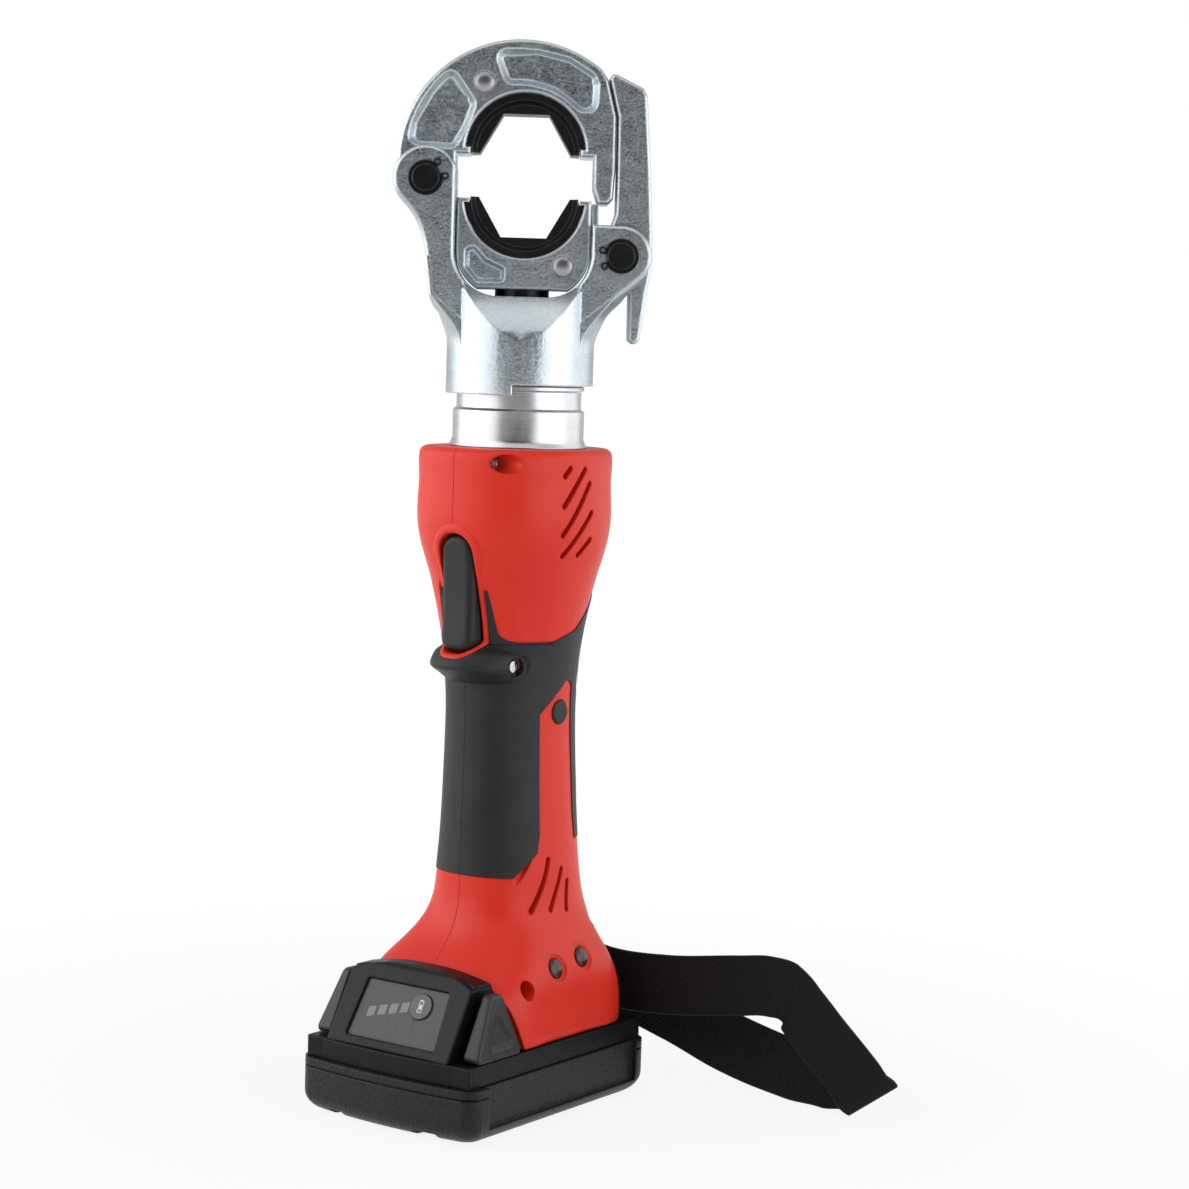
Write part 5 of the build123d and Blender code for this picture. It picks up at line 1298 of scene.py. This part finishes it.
    def prong_covers(self) -> None:
        """Make the red covers that leave a narrow prong of rubber beside the trigger.

        Each runs from a line that leans out downwards and turns in an arc to its far edge, over the skin.
        """
        height = np.concatenate([np.linspace(low, high, count) for low, high, count in self.cover_rows])
        middle, tall, wide = self.cover_bend
        start, lean, over = self.cover_near
        bend = np.sqrt(np.clip(1.0 - ((height - middle) / tall) ** 2, 0.0, 1.0))
        near = np.where(height < middle, start + wide * (1.0 - bend), start - lean * (height - middle) / over)
        share = np.linspace(0.0, 1.0, 14)[None, :]
        across = near[:, None] + share * (self.cover_far - near[:, None])
        level = np.repeat(height[:, None], share.size, 1)
        fades = ((1.0 - share) / self.cover_fade[0], (self.cover_top - level) / self.cover_fade[1])
        edge = np.minimum(*(np.clip(fade, 0.0, 1.0) for fade in fades))
        lift = self.cover_lift[0] * edge - self.cover_lift[1] * (1.0 - edge)
        skin = self.body.front(across, level)
        for name, side in (("left_prong_cover", -1.0), ("right_prong_cover", 1.0)):
            rises = (lift, lift - self.cover_thick)
            faces = (np.stack([side * across, skin - rise, level], -1) for rise in rises)
            cover = slab(name, *(turned(face * MM) for face in faces))
            fit_out(cover, name, Coat.RED, f"{name.split('_')[0]}_shell", False)

    def lenses(self) -> None:
        """Make each indicator: a domed lens in a red ring, profiles turned round the lens's leaning axis."""
        lean = radians(self.lens_tilt)
        out = np.array([cos(lean), 0.0, sin(lean)])
        round_way = circle(40) @ np.array([[0.0, 1.0, 0.0], [-sin(lean), 0.0, cos(lean)]])
        bend = np.linspace(0.0, 1.45, 9)
        dome = np.column_stack([
            self.lens_radius * np.append(1.0, np.cos(bend)),
            np.append(self.lens_root, self.lens_seat + self.lens_tall * np.sin(bend)),
        ])
        for name, place in zip(("front_indicator", "rear_indicator"), self.lens_places):
            lens, ring = (np.array(place) + profile[:, :1, None] * round_way + profile[:, 1:, None] * out
                          for profile in (dome, np.array(self.lens_ring)))
            fit_out(closed(lens), f"{name}_lens", Coat.LENS, "indicator_lenses", name.startswith("front"))
            fit_out(hoop(ring), f"{name}_ring", Coat.RED, "right_shell", False)

    def details(self) -> None:
        """Add the trigger with its rim, the finger lip, the covers beside it and the indicators."""
        self.pull()
        self.frame_rim()
        self.finger_lip()
        self.prong_covers()
        self.lenses()


@dataclass
class Battery(SubAssembly):
    """Slide-on pack with its charge gauge and latches.

    The slope's ends and the marks on it are metres, the other sizes millimetres, in the handle's axes.
    """

    shown: dict[str, Coat] = field(default_factory=lambda: {
        "battery_upper_case": Coat.CAP,
    })
    hidden: dict[str, Coat] = field(default_factory=lambda: {
        "battery_cells": Coat.CELL, "cell_board": Coat.BOARD, "case_screws": Coat.STEEL,
        "left_latch_spring": Coat.SPRING, "right_latch_spring": Coat.SPRING,
    })
    slope_foot: Triple = (0.0, -0.0664, 0.0272)
    slope_head: Triple = (0.0, -0.0530, 0.0514)
    panel_sink: float = 0.0009
    key_sink: float = 0.0002
    mark_height: float = 0.00008
    mark_root: float = -0.00003
    line: float = 0.0003
    bar_count: int = 4
    bar_left: float = -0.0144
    bar_pitch: float = 0.0046
    bar_width: float = 0.0033
    bar_low: float = 0.0111
    bar_rise: float = 0.0012
    bar_lean: float = 0.00085
    bar_tall: float = 0.00375
    comb_low: float = 0.0088
    comb_end: float = 0.0063
    comb_gaps: Pair = (0.0003, 0.0009)
    key: Pair = (0.0080, 0.0182)
    sign: Pair = (0.0019, 0.0044)
    key_radius: float = 4.5
    key_ends: Pair = (-2.2, -0.2)
    key_gaps: Pair = (0.25, 0.2)
    key_well: float = -4.5
    panel_halves: Pair = (20.0, 18.4)
    panel_levels: Pair = (3.6, 25.06)
    panel_corner: float = 0.8
    panel_gap: float = 0.15
    panel_ends: Pair = (-1.7, -0.9)
    gauge_clear: float = 6.0
    nose_line: Triple = (-33.0, 0.4, 29.0)
    bow_fade: float = 12.0
    case_half: float = 39.4
    case_ends: Pair = (-66.6, 39.3)
    case_bow: float = 2.8
    case_round: float = 7.4
    case_top: float = 19.6
    case_groove: Triple = (16.2, 17.0, 0.9)
    case_corners: Pair = (5.4, 8.0)
    corner_shrink: Pair = (0.3, 1.0)
    side_reach: Pair = (37.4, 60.0)
    side_ends: Pair = (-57.0, 30.5)
    side_levels: Pair = (5.0, 30.0)
    notches: tuple[Pair, Pair] = ((-25.0, -19.0), (12.8, 23.0))
    notch_ends: Pair = (-90.0, -56.0)
    notch_levels: Pair = (-5.0, 2.4)
    plate_half: float = 36.56
    plate_ends: Pair = (-64.6, -45.0)
    plate_bow: float = 2.6
    plate_corners: Pair = (1.4, 0.4)
    plate_levels: Pair = (19.6, 27.22)
    cap_half: float = 27.06
    cap_crown: float = 55.24
    cap_gap: float = 0.45
    cap_rounds: tuple[float, ...] = (0.4, 4.5, 1.0, 0.1)
    arch_half: float = 28.0
    arch_drops: Pair = (3.6, 1.6)
    arch_top: float = 75.0
    arch_ends: Pair = (-110.0, 60.0)
    latch_in: float = 30.2
    latch_out: float = 36.9
    latch_lean: float = 3.4
    latch_levels: Pair = (27.5, 49.4)
    latch_fronts: Pair = (-62.0, -50.6)
    latch_gap: float = 3.0
    latch_round: float = 1.8
    latch_reach: float = 9.0
    latch_edge: tuple[Pair, ...] = ((-0.9, 0.0), (-0.25, 0.35), (0.0, 0.9))
    dish_fronts: Pair = (-55.0, -48.0)
    dish_gap: float = 6.4
    dish_margins: Pair = (3.2, 4.6)
    dish_rings: tuple[Pair, ...] = ((3.0, 1.4), (0.0, 1.0), (-1.4, 0.72))

    def nose(self, height: float) -> float:
        """Front of the handle's foot at a height, which the cap and the latches follow."""
        start, lean, level = self.nose_line
        return start - lean * (height - level)

    def bowed(self, half: float, front: float, back: float, bow: float, corners: Pair) -> np.ndarray:
        """Outline of the pack seen from above, with a front that bows out.

        The front is a parabola between rounded corners, the sides and the back are straight.

        Args:
            half: half of the width.
            front: where the front's corners lie.
            back: where the back lies.
            bow: how far the middle of the front stands out.
            corners: radii of the front and of the back corners.

        Returns:
            Points in order, one a row.
        """
        square = np.array([(half, front), (half, back), (-half, back), (-half, front)])
        outline = rounded(square, np.array([corners[0], corners[1], corners[1], corners[0]]), 10)
        across = np.linspace(-half + corners[0], half - corners[0], 22)[1:-1]
        whole = np.concatenate([outline, np.column_stack([across, np.full(len(across), front)])])
        share = np.clip(1.0 - (whole[:, 1] - front) / self.bow_fade, 0.0, 1.0)
        whole[:, 1] -= bow * share * (1.0 - (whole[:, 0] / half) ** 2)
        return whole

    def lower_case(self) -> None:
        """Make the lower case.

        It is the pack's outline drawn in round its foot, with a groove under the rim, a sunk panel along each
        side and two notches in the front edge.
        """
        turn = np.linspace(0.0, np.pi / 2, 9)
        low, high, deep = self.case_groove
        level = np.append(self.case_round * (1 - np.cos(turn)), [low, low, high, high, self.case_top])
        inset = np.append(self.case_round * (1 - np.sin(turn)), [0.0, deep, deep, 0.0, 0.0])
        front, back = self.case_ends
        near, far = self.case_corners
        shrink, least = self.corner_shrink
        rings = []
        for height, drawn in zip(level, inset):
            corners = (max(near - shrink * drawn, least), far)
            outline = self.bowed(self.case_half - drawn, front + drawn, back - drawn, self.case_bow, corners)
            rings.append(np.insert(outline, 2, height, axis=1))
        case = closed(np.stack(rings))
        for side in (-1.0, 1.0):
            left, right = sorted(side * reach for reach in self.side_reach)
            carve(case, prism(rectangle(left, right, *self.side_ends), 2, *self.side_levels))
        for left, right in self.notches:
            carve(case, prism(rectangle(left, right, *self.notch_ends), 2, *self.notch_levels))
        fit_out(case, "pack_case", Coat.PACK, "battery_lower_case")

    def plate_front(self) -> None:
        """Make the bowed front of the plate between the case and the raised end."""
        outline = self.bowed(self.plate_half, *self.plate_ends, self.plate_bow, self.plate_corners)
        plate = prism(outline, 2, *self.plate_levels)
        fit_out(plate, "pack_plate", Coat.CAP, "battery_upper_case", False)

    def raised_end(self) -> None:
        """Make the raised end, its side profile carried across and cut by an arch, and the gauge in it."""
        foot, head = (np.array(point)[1:] / MM for point in (self.slope_foot, self.slope_head))
        crown = self.cap_crown
        edge = foot + (head - foot) * (crown - foot[1]) / (head[1] - foot[1])
        back = [(self.nose(level) - self.cap_gap, level) for level in (crown, foot[1])]
        profile = rounded(np.array([foot, edge, *back]), np.array(self.cap_rounds))
        end = prism(profile, 0, -self.cap_half, self.cap_half)
        half, (gentle, steep) = self.arch_half, self.arch_drops
        across = np.linspace(-half, half, 33)
        drop = gentle * (across / half) ** 2, steep * np.abs(across / half) ** 8
        arch = np.column_stack([across, crown - drop[0] - drop[1]])
        above = [(half, self.arch_top), (-half, self.arch_top)]
        carve(end, prism(np.concatenate([arch, above]), 1, *self.arch_ends))
        well_gap, panel_gap = self.key_gaps
        clear = self.gauge_clear
        carve(end, self.on_gauge(self.gauge_outline(0.0), self.panel_ends[0], clear))
        carve(end, self.on_gauge(self.key_ring(well_gap), self.key_well, clear))
        fit_out(end, "gauge_end", Coat.CAP, "battery_upper_case", False)
        panel = self.on_gauge(self.gauge_outline(self.panel_gap), *self.panel_ends)
        carve(panel, self.on_gauge(self.key_ring(panel_gap), -clear, clear))
        fit_out(panel, "gauge_face", Coat.GAUGE, "gauge_panel")
        key = self.on_gauge(self.key_ring(0.0), *self.key_ends)
        fit_out(key, "gauge_key", Coat.KEY, "gauge_button")

    def gauge_outline(self, gap: float) -> np.ndarray:
        """Outline of the gauge's panel on the slope, drawn in by a gap."""
        wide, narrow = (half - gap for half in self.panel_halves)
        low, high = self.panel_levels[0] + gap, self.panel_levels[1] - gap
        corners = np.array([(-wide, low), (wide, low), (narrow, high), (-narrow, high)])
        return rounded(corners, np.full(4, self.panel_corner), 5)

    def key_ring(self, grow: float) -> np.ndarray:
        """Circle of the gauge's key on the slope."""
        return np.array(self.key) / MM + (self.key_radius + grow) * circle(48)

    def on_gauge(self, outline: np.ndarray, low: float, high: float) -> bpy.types.Object:
        """A bar that stands on the gauge's slope.

        Args:
            outline: across and up, in millimetres.
            low: where it starts, along the slope's normal.
            high: where it ends.

        Returns:
            The new object.
        """
        flat = [self.on_slope(outline[:, 0] * MM, outline[:, 1] * MM, np.full(len(outline), out * MM))
                for out in (low, high)]
        return closed(np.stack(flat) / MM, False)

    def leaning(self, side: float, ring: np.ndarray, out: float) -> np.ndarray:
        """A ring laid along the outer face of a latch button.

        Args:
            side: -1 on the left, 1 on the right.
            ring: points along and up, in millimetres of the handle's axes.
            out: how far outside the face it lies.

        Returns:
            Points of the ring, one a row.
        """
        low, top = self.latch_levels
        face = self.latch_out - self.latch_lean * (ring[:, 1] - low) / (top - low)
        return np.column_stack([side * (face + out), ring])

    def latches(self) -> None:
        """Make the latch buttons: a wedge whose outer face leans in, with a dished triangle in it."""
        low, top = self.latch_levels
        foot, head = self.latch_fronts
        back = [(self.nose(level) - self.latch_gap, level) for level in (low, top)]
        outline = rounded(np.array([(foot, low), *back, (head, top)]), np.full(4, self.latch_round))
        base, tip = low + self.dish_margins[0], top - self.dish_margins[1]
        near, upper = self.dish_fronts
        triangle = np.array([(near, base), (self.nose(low) - self.dish_gap, base), (upper, tip)])
        dish = rounded(triangle, np.full(3, self.latch_round))
        middle = dish.mean(0)
        for name, side in (("left", -1.0), ("right", 1.0)):
            root = np.column_stack([np.full(len(outline), side * self.latch_in), outline])
            edge = (
                self.leaning(side, middle + (outline - middle) * (1.0 - shrink / self.latch_reach), out)
                for out, shrink in self.latch_edge)
            button = closed(np.stack([root, *edge]))
            carve(button, closed(np.stack([
                self.leaning(side, middle + (dish - middle) * scale, out) for out, scale in self.dish_rings
            ])))
            fit_out(button, f"{name}_latch", Coat.LATCH, f"{name}_latch_button")

    def on_slope(self, across: np.ndarray, up: np.ndarray, out: np.ndarray) -> np.ndarray:
        """Points on the gauge's slope.

        A point is the slope's foot plus across along X, up along the slope and out along its normal.

        Args:
            across: distances to the right.
            up: distances up the slope.
            out: distances out of the slope's face.

        Returns:
            Points in the frame.
        """
        foot, head = np.array(self.slope_foot), np.array(self.slope_head)
        rise = unit(head - foot)
        normal = np.array([0.0, -rise[2], rise[1]])
        flat = foot + across[..., None] * np.array([1.0, 0.0, 0.0]) + up[..., None] * rise
        return turned(flat + out[..., None] * normal)

    def prisms(self, name: str, corners: np.ndarray, coat: Coat, sink: float, body: str) -> None:
        """Make thin marks on the gauge, as one piece.

        Args:
            name: the piece's name.
            corners: outlines as an array of marks by four corners by across and up, turning left.
            coat: the finish.
            sink: how far the marked face lies under the slope.
            body: the body that carries it.
        """
        count = len(corners)
        both = np.concatenate([corners, corners], 1)
        out = np.broadcast_to(np.repeat([self.mark_root, self.mark_height], 4) - sink, (count, 8))
        points = self.on_slope(both[..., 0], both[..., 1], out).reshape(-1, 3)
        faces = np.array([[4, 5, 6, 7], [3, 2, 1, 0], [0, 1, 5, 4], [1, 2, 6, 5], [2, 3, 7, 6], [3, 0, 4, 7]])
        every = (np.arange(count)[:, None, None] * 8 + faces).reshape(-1, 4)
        piece = new_piece(name, points, every.tolist(), smooth=False)
        paint(piece, coat)
        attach(piece, body)
        LOG.info("added %s", piece.name)

    def boxes(self, low: np.ndarray, high: np.ndarray) -> np.ndarray:
        """Corners of upright rectangles.

        Args:
            low: lower left corners, one a row.
            high: upper right corners, one a row.

        Returns:
            Array of rectangles by four corners by across and up, turning left.
        """
        right = np.stack([high[:, 0], low[:, 1]], -1)
        left = np.stack([low[:, 0], high[:, 1]], -1)
        return np.stack([low, right, high, left], 1)

    def gauge_marks(self) -> None:
        """Make the gauge's bars and the comb of lines under them."""
        number = np.arange(self.bar_count)
        left = self.bar_left + number * self.bar_pitch
        low = self.bar_low + number * self.bar_rise
        start, end = np.stack([left, low], -1), np.stack([left + self.bar_width, low + self.bar_lean], -1)
        tall = np.array([0.0, self.bar_tall])
        bars = np.stack([start, end, end + tall, start + tall], 1)
        self.prisms("gauge_bars", bars, Coat.MARK, self.panel_sink, "battery")
        ticks = np.append(left, self.comb_end)
        tops = np.append(low - self.comb_gaps[0], low[-1] - self.comb_gaps[1])
        foot = np.full(len(ticks), self.comb_low)
        teeth = self.boxes(np.stack([ticks, foot], -1), np.stack([ticks + self.line, tops], -1))
        rail = self.boxes(np.array([[ticks[0], self.comb_low - self.line]]),
                          np.array([[self.comb_end + self.line, self.comb_low]]))
        self.prisms("gauge_comb", np.concatenate([teeth, rail]), Coat.FAINT_MARK, self.panel_sink, "battery")

    def key_sign(self) -> None:
        """Make a plain battery sign on the gauge's key: four lines, a cap and a filled part."""
        middle, half, line = np.array(self.key), np.array(self.sign) / 2, self.line
        wide, rise = np.array([half[0], 0.0]), np.array([0.0, half[1]])
        thin, deep = np.array([line, 0.0]), np.array([0.0, line])
        lows = np.stack([
            middle - half, middle + wide - rise - thin, middle - half + thin,
            middle - wide + rise - deep + thin, middle - wide / 2 + rise, middle - wide / 2 - rise / 2,
        ])
        highs = np.stack([
            middle - wide + rise + thin, middle + half, middle + wide - rise + deep - thin,
            middle + half - thin, middle + wide / 2 + rise + deep, middle + wide / 2 + rise / 3,
        ])
        self.prisms("key_sign", self.boxes(lows, highs), Coat.PALE_MARK, self.key_sink, "gauge_button")

    def details(self) -> None:
        """Add the case, the raised end, the latches and the marks of the gauge and its key."""
        self.lower_case()
        self.plate_front()
        self.raised_end()
        self.latches()
        self.gauge_marks()
        self.key_sign()


@dataclass
class WristStrap:
    """Nylon webbing that goes round its pin, out in a loop, over a fold and back.

    Each station holds a point of the middle line and the direction of the width there, in millimetres of
    the handle's axes.
    """

    width: float = 0.0225
    thick: float = 0.0015
    length: float = 0.3085
    samples: int = 420
    selvedge: float = 0.1
    stations: tuple[tuple[Triple, Triple], ...] = (
        ((-3.0, 37.0, 41.0), (0, 0, 1)), ((-3.0, 30.6, 41.0), (0, 0, 1)), ((-2.1, 28.5, 41.0), (0, 0, 1)),
        ((0.0, 27.6, 41.0), (0, 0, 1)), ((2.1, 28.5, 41.0), (0, 0, 1)), ((3.0, 30.6, 41.0), (0, 0, 1)),
        ((3.4, 37.4, 41.0), (0, 0, 1)), ((8.0, 42.0, 40.0), (0, 0, 1)), ((18.0, 43.8, 38.2), (0, 0, 1)),
        ((41.8, 44.6, 38.8), (0.01, 0, 1)), ((72.8, 46.0, 43.1), (0, 0, 1)),
        ((86.0, 46.5, 44.8), (0.06, 0, 1)), ((94.6, 46.8, 43.6), (0.27, 0, 0.96)),
        ((98.4, 47.2, 39.0), (0.56, 0.09, 0.82)), ((105.0, 48.5, 31.4), (0.74, 0.12, 0.66)),
        ((118.6, 52.0, 16.6), (0.83, 0.17, 0.52)),
        ((124.4, 53.2, 9.8), (0.79, 0.18, 0.59)), ((125.6, 54.6, 8.6), (0.79, 0.18, 0.59)),
        ((123.6, 56.0, 9.2), (0.77, 0.2, 0.6)), ((111.0, 57.8, 10.2), (0.6, 0.3, 0.74)),
        ((92.4, 59.4, 11.6), (0.42, 0.35, 0.84)), ((58.5, 61.5, 17.2), (0.25, 0.3, 0.92)),
        ((35.0, 59.6, 25.2), (0.15, 0.25, 0.95)), ((13.0, 52.6, 33.4), (0.05, 0.1, 1)),
        ((-2.0, 45.4, 38.8), (0, 0, 1)), ((-5.2, 37.2, 41.0), (0, 0, 1)),
    )

    def line(self) -> tuple[np.ndarray, np.ndarray, np.ndarray]:
        """Middle line, width direction and distance along at evenly spread parameters.

        Between two stations the line is the cubic whose slopes at both ends are the mean slopes of the
        stations on either side; the width direction blends evenly.

        Returns:
            Points, width directions and lengths along.
        """
        places, widths = np.array(self.stations, float).swapaxes(0, 1)
        points, wide = places * MM, unit(widths)
        knots = np.append(0.0, np.cumsum(np.linalg.norm(np.diff(points, axis=0), axis=1)))
        gaps = np.diff(knots)
        chords = np.diff(points, axis=0) / gaps[:, None]
        inner = gaps[1:, None] * chords[:-1] + gaps[:-1, None] * chords[1:]
        inner /= (gaps[1:] + gaps[:-1])[:, None]
        slopes = np.concatenate([chords[:1], inner, chords[-1:]])
        at = np.linspace(0.0, knots[-1], self.samples)
        span = np.clip(np.searchsorted(knots, at, "right") - 1, 0, len(gaps) - 1)
        size = gaps[span][:, None]
        t = ((at - knots[span]) / gaps[span])[:, None]
        ease = 3 * t**2 - 2 * t**3
        line = (
            points[span] * (2 * t**3 - 3 * t**2 + 1) + slopes[span] * size * (t**3 - 2 * t**2 + t)
            + points[span + 1] * ease + slopes[span + 1] * size * (t**3 - t**2)
        )
        across = unit(wide[span] * (1 - ease) + wide[span + 1] * ease)
        along = np.append(0.0, np.cumsum(np.linalg.norm(np.diff(line, axis=0), axis=1)))
        return line, across, along

    def build(self) -> None:
        """Make the band: a flat section with round selvedges carried along the middle line."""
        line, across, along = self.line()
        way = unit(np.gradient(line, axis=0))
        out = unit(np.cross(across, way))
        half, thin = self.width / 2 - self.thick / 2, self.thick / 2
        flat = np.linspace(-half, half, 15)
        turn = np.radians(np.linspace(-90.0, 90.0, 7)[1:-1])
        edge_x, edge_y = half + thin * np.cos(turn), thin * np.sin(turn)
        sec_x = np.concatenate([flat, edge_x, flat[::-1], -edge_x])
        level = np.full(len(flat), thin)
        sec_y = np.concatenate([-level, edge_y, level, edge_y[::-1]])
        columns = len(sec_x)
        points = line[:, None] + sec_x[None, :, None] * across[:, None] + sec_y[None, :, None] * out[:, None]
        faces = band_faces(self.samples, columns, True).tolist()
        last = (self.samples - 1) * columns
        faces += [list(range(columns))[::-1], list(range(last, last + columns))]
        strap = new_piece("webbing_strap", turned(points).reshape(-1, 3), faces)
        self.lay_weave(strap, sec_x, along, columns)
        face_out(strap)
        paint(strap, Coat.WEBBING)
        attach(strap, "handle")
        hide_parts("wrist_strap")
        LOG.info("wove %s, %.1f mm long", strap.name, along[-1] / MM)

    def lay_weave(self, strap: bpy.types.Object, sec_x: np.ndarray, along: np.ndarray, columns: int) -> None:
        """UV map in metres: across the webbing and along it.

        Args:
            strap: the webbing.
            sec_x: place of each point of the section across the width.
            along: length along the line at each row.
            columns: points of the section.
        """
        mesh = strap.data
        corner = np.empty(len(mesh.loops), np.int64)
        mesh.loops.foreach_get("vertex_index", corner)
        uv = np.stack([sec_x[corner % columns] + self.selvedge, along[corner // columns]], -1)
        mesh.uv_layers.new(name="weave").data.foreach_set("uv", uv.astype(np.float32).ravel())


@dataclass
class Studio:
    """Camera, floor, world and lamps."""

    eye: Triple = (0.004, -0.9996, 0.274)
    yaw: float = -1.45
    pitch: float = 5.13
    roll: float = 1.73
    lens: float = 83.9
    ambient: float = 0.20
    side_light: float = 0.58
    dark_front: float = 0.63
    bright_top: float = 0.15
    front_band: Pair = (0.6, 0.93)
    top_band: Pair = (0.4, 0.8)
    sensor: float = 36.0
    aim: Triple = (0.0, 0.0, 0.19)
    floor_reach: float = 6.0
    floor_level: float = -0.0002
    floor_fade: Pair = (0.10, 0.40)
    floor_white: Pair = (0.88, 0.12)
    lamps: tuple[tuple[str, Triple, float, float], ...] = (
        ("key", (-1.25, -0.6, 0.7), 1.6, 12.0),
        ("fill", (1.15, -0.75, 0.22), 1.4, 12.0),
        ("top", (0.0, -0.6, 1.5), 1.5, 4.0),
        ("left_rim", (-1.25, 0.2, 0.35), 1.3, 8.0),
        ("right_rim", (1.2, 0.35, 0.4), 1.3, 5.0),
    )

    def build(self) -> None:
        """Set up everything that isn't the tool."""
        self.camera()
        self.floor()
        self.world()
        for name, place, size, power in self.lamps:
            self.lamp(name, Vector(place), size, power)
        bpy.context.scene.view_settings.view_transform = "Standard"

    def camera(self) -> None:
        """Camera at the photograph's angle: turned, tipped down and rolled a little."""
        yaw, pitch, roll = radians(self.yaw), radians(self.pitch), radians(self.roll)
        ahead = Vector((-sin(yaw) * cos(pitch), cos(yaw) * cos(pitch), -sin(pitch)))
        right = Vector((cos(yaw), sin(yaw), 0.0))
        up = right.cross(ahead)
        side = right * cos(roll) + up * sin(roll)
        over = up * cos(roll) - right * sin(roll)
        data = bpy.data.cameras.new("camera")
        data.lens = self.lens
        data.sensor_width = self.sensor
        made = bpy.data.objects.new("camera", data)
        basis = Matrix((side, over, -ahead)).transposed().to_4x4()
        made.matrix_world = Matrix.Translation(self.eye) @ basis
        bpy.context.scene.collection.objects.link(made)
        bpy.context.scene.camera = made

    def seen(self, shader: Shader) -> Value:
        """1 for rays that show the background to the camera, in metal and through glass."""
        rays = [shader.node("ShaderNodeLightPath", output=kind) for kind in
                ("Is Camera Ray", "Is Glossy Ray", "Is Transmission Ray")]
        either = rays[0].math("MAXIMUM", rays[0], rays[1])
        return either.math("MAXIMUM", either, rays[2])

    def floor(self) -> None:
        """A pale floor that goes over into white away from the tool."""
        reach = self.floor_reach
        corners = np.insert(rectangle(-reach, reach, -reach, reach), 2, self.floor_level, axis=1)
        plane = new_piece("floor", corners, [[0, 1, 2, 3]])
        shader = Shader(bpy.data.materials.new("pale_floor"))
        pale = shader.node("ShaderNodeBsdfDiffuse", None, {"Color": (0.86, 0.86, 0.86, 1.0)})
        white = shader.node("ShaderNodeEmission", None, {"Color": (1.0, 1.0, 1.0, 1.0), "Strength": 1.0})
        own = shader.node("ShaderNodeTexCoord", output="Object")
        away = shader.node("ShaderNodeVectorMath", {"operation": "LENGTH"}, {0: own}, "Value")
        least, more = self.floor_white
        share = self.seen(shader) * (least + more * away.between(*self.floor_fade))
        both = shader.node("ShaderNodeMixShader", None, {0: share, 1: pale, 2: white})
        shader.node("ShaderNodeOutputMaterial", None, {"Surface": both})
        plane.data.materials.append(shader.owner)

    def world(self) -> None:
        """White where it is seen, greyer towards the room in front, and a plain level of light elsewhere."""
        world = bpy.data.worlds.new("studio")
        bpy.context.scene.world = world
        shader = Shader(world)
        way = shader.node("ShaderNodeTexCoord", output="Generated")
        ahead = {0: way, 1: (0.0, -1.0, 0.0)}
        front = shader.node("ShaderNodeVectorMath", {"operation": "DOT_PRODUCT"}, ahead, "Value")
        glossy = shader.node("ShaderNodeLightPath", output="Is Glossy Ray")
        height = shader.node("ShaderNodeSeparateXYZ", None, {0: way}, "Z")
        sides = self.side_light + self.bright_top * height.between(*self.top_band)
        mirrored = sides - self.dark_front * front.between(*self.front_band)
        room = 1.0 + glossy * (mirrored - 1.0)
        strength = self.seen(shader) * room + (1.0 - self.seen(shader)) * self.ambient
        white = {"Color": (1.0, 1.0, 1.0, 1.0), "Strength": strength}
        light = shader.node("ShaderNodeBackground", None, white)
        shader.node("ShaderNodeOutputWorld", None, {"Surface": light})

    def lamp(self, name: str, place: Vector, size: float, power: float) -> None:
        """A square soft box aimed at the tool's middle.

        Args:
            name: the lamp's name.
            place: where it stands.
            size: length of its side.
            power: its power in watts.
        """
        data = bpy.data.lights.new(name, "AREA")
        data.size = size
        data.energy = power
        made = bpy.data.objects.new(name, data)
        aim = (Vector(self.aim) - place).to_track_quat("-Z", "Y")
        made.matrix_world = Matrix.Translation(place) @ aim.to_matrix().to_4x4()
        bpy.context.scene.collection.objects.link(made)


def main() -> None:
    """Build every sub-assembly in order."""
    logging.basicConfig(level=logging.INFO, format="%(name)s: %(message)s")
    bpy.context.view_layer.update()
    Studio().build()
    for part in (CrimpHead(), Handle(), Battery(), WristStrap()):
        part.build()
        LOG.info("built the %s", type(part).__name__)


if __name__ == "__main__":
    main()
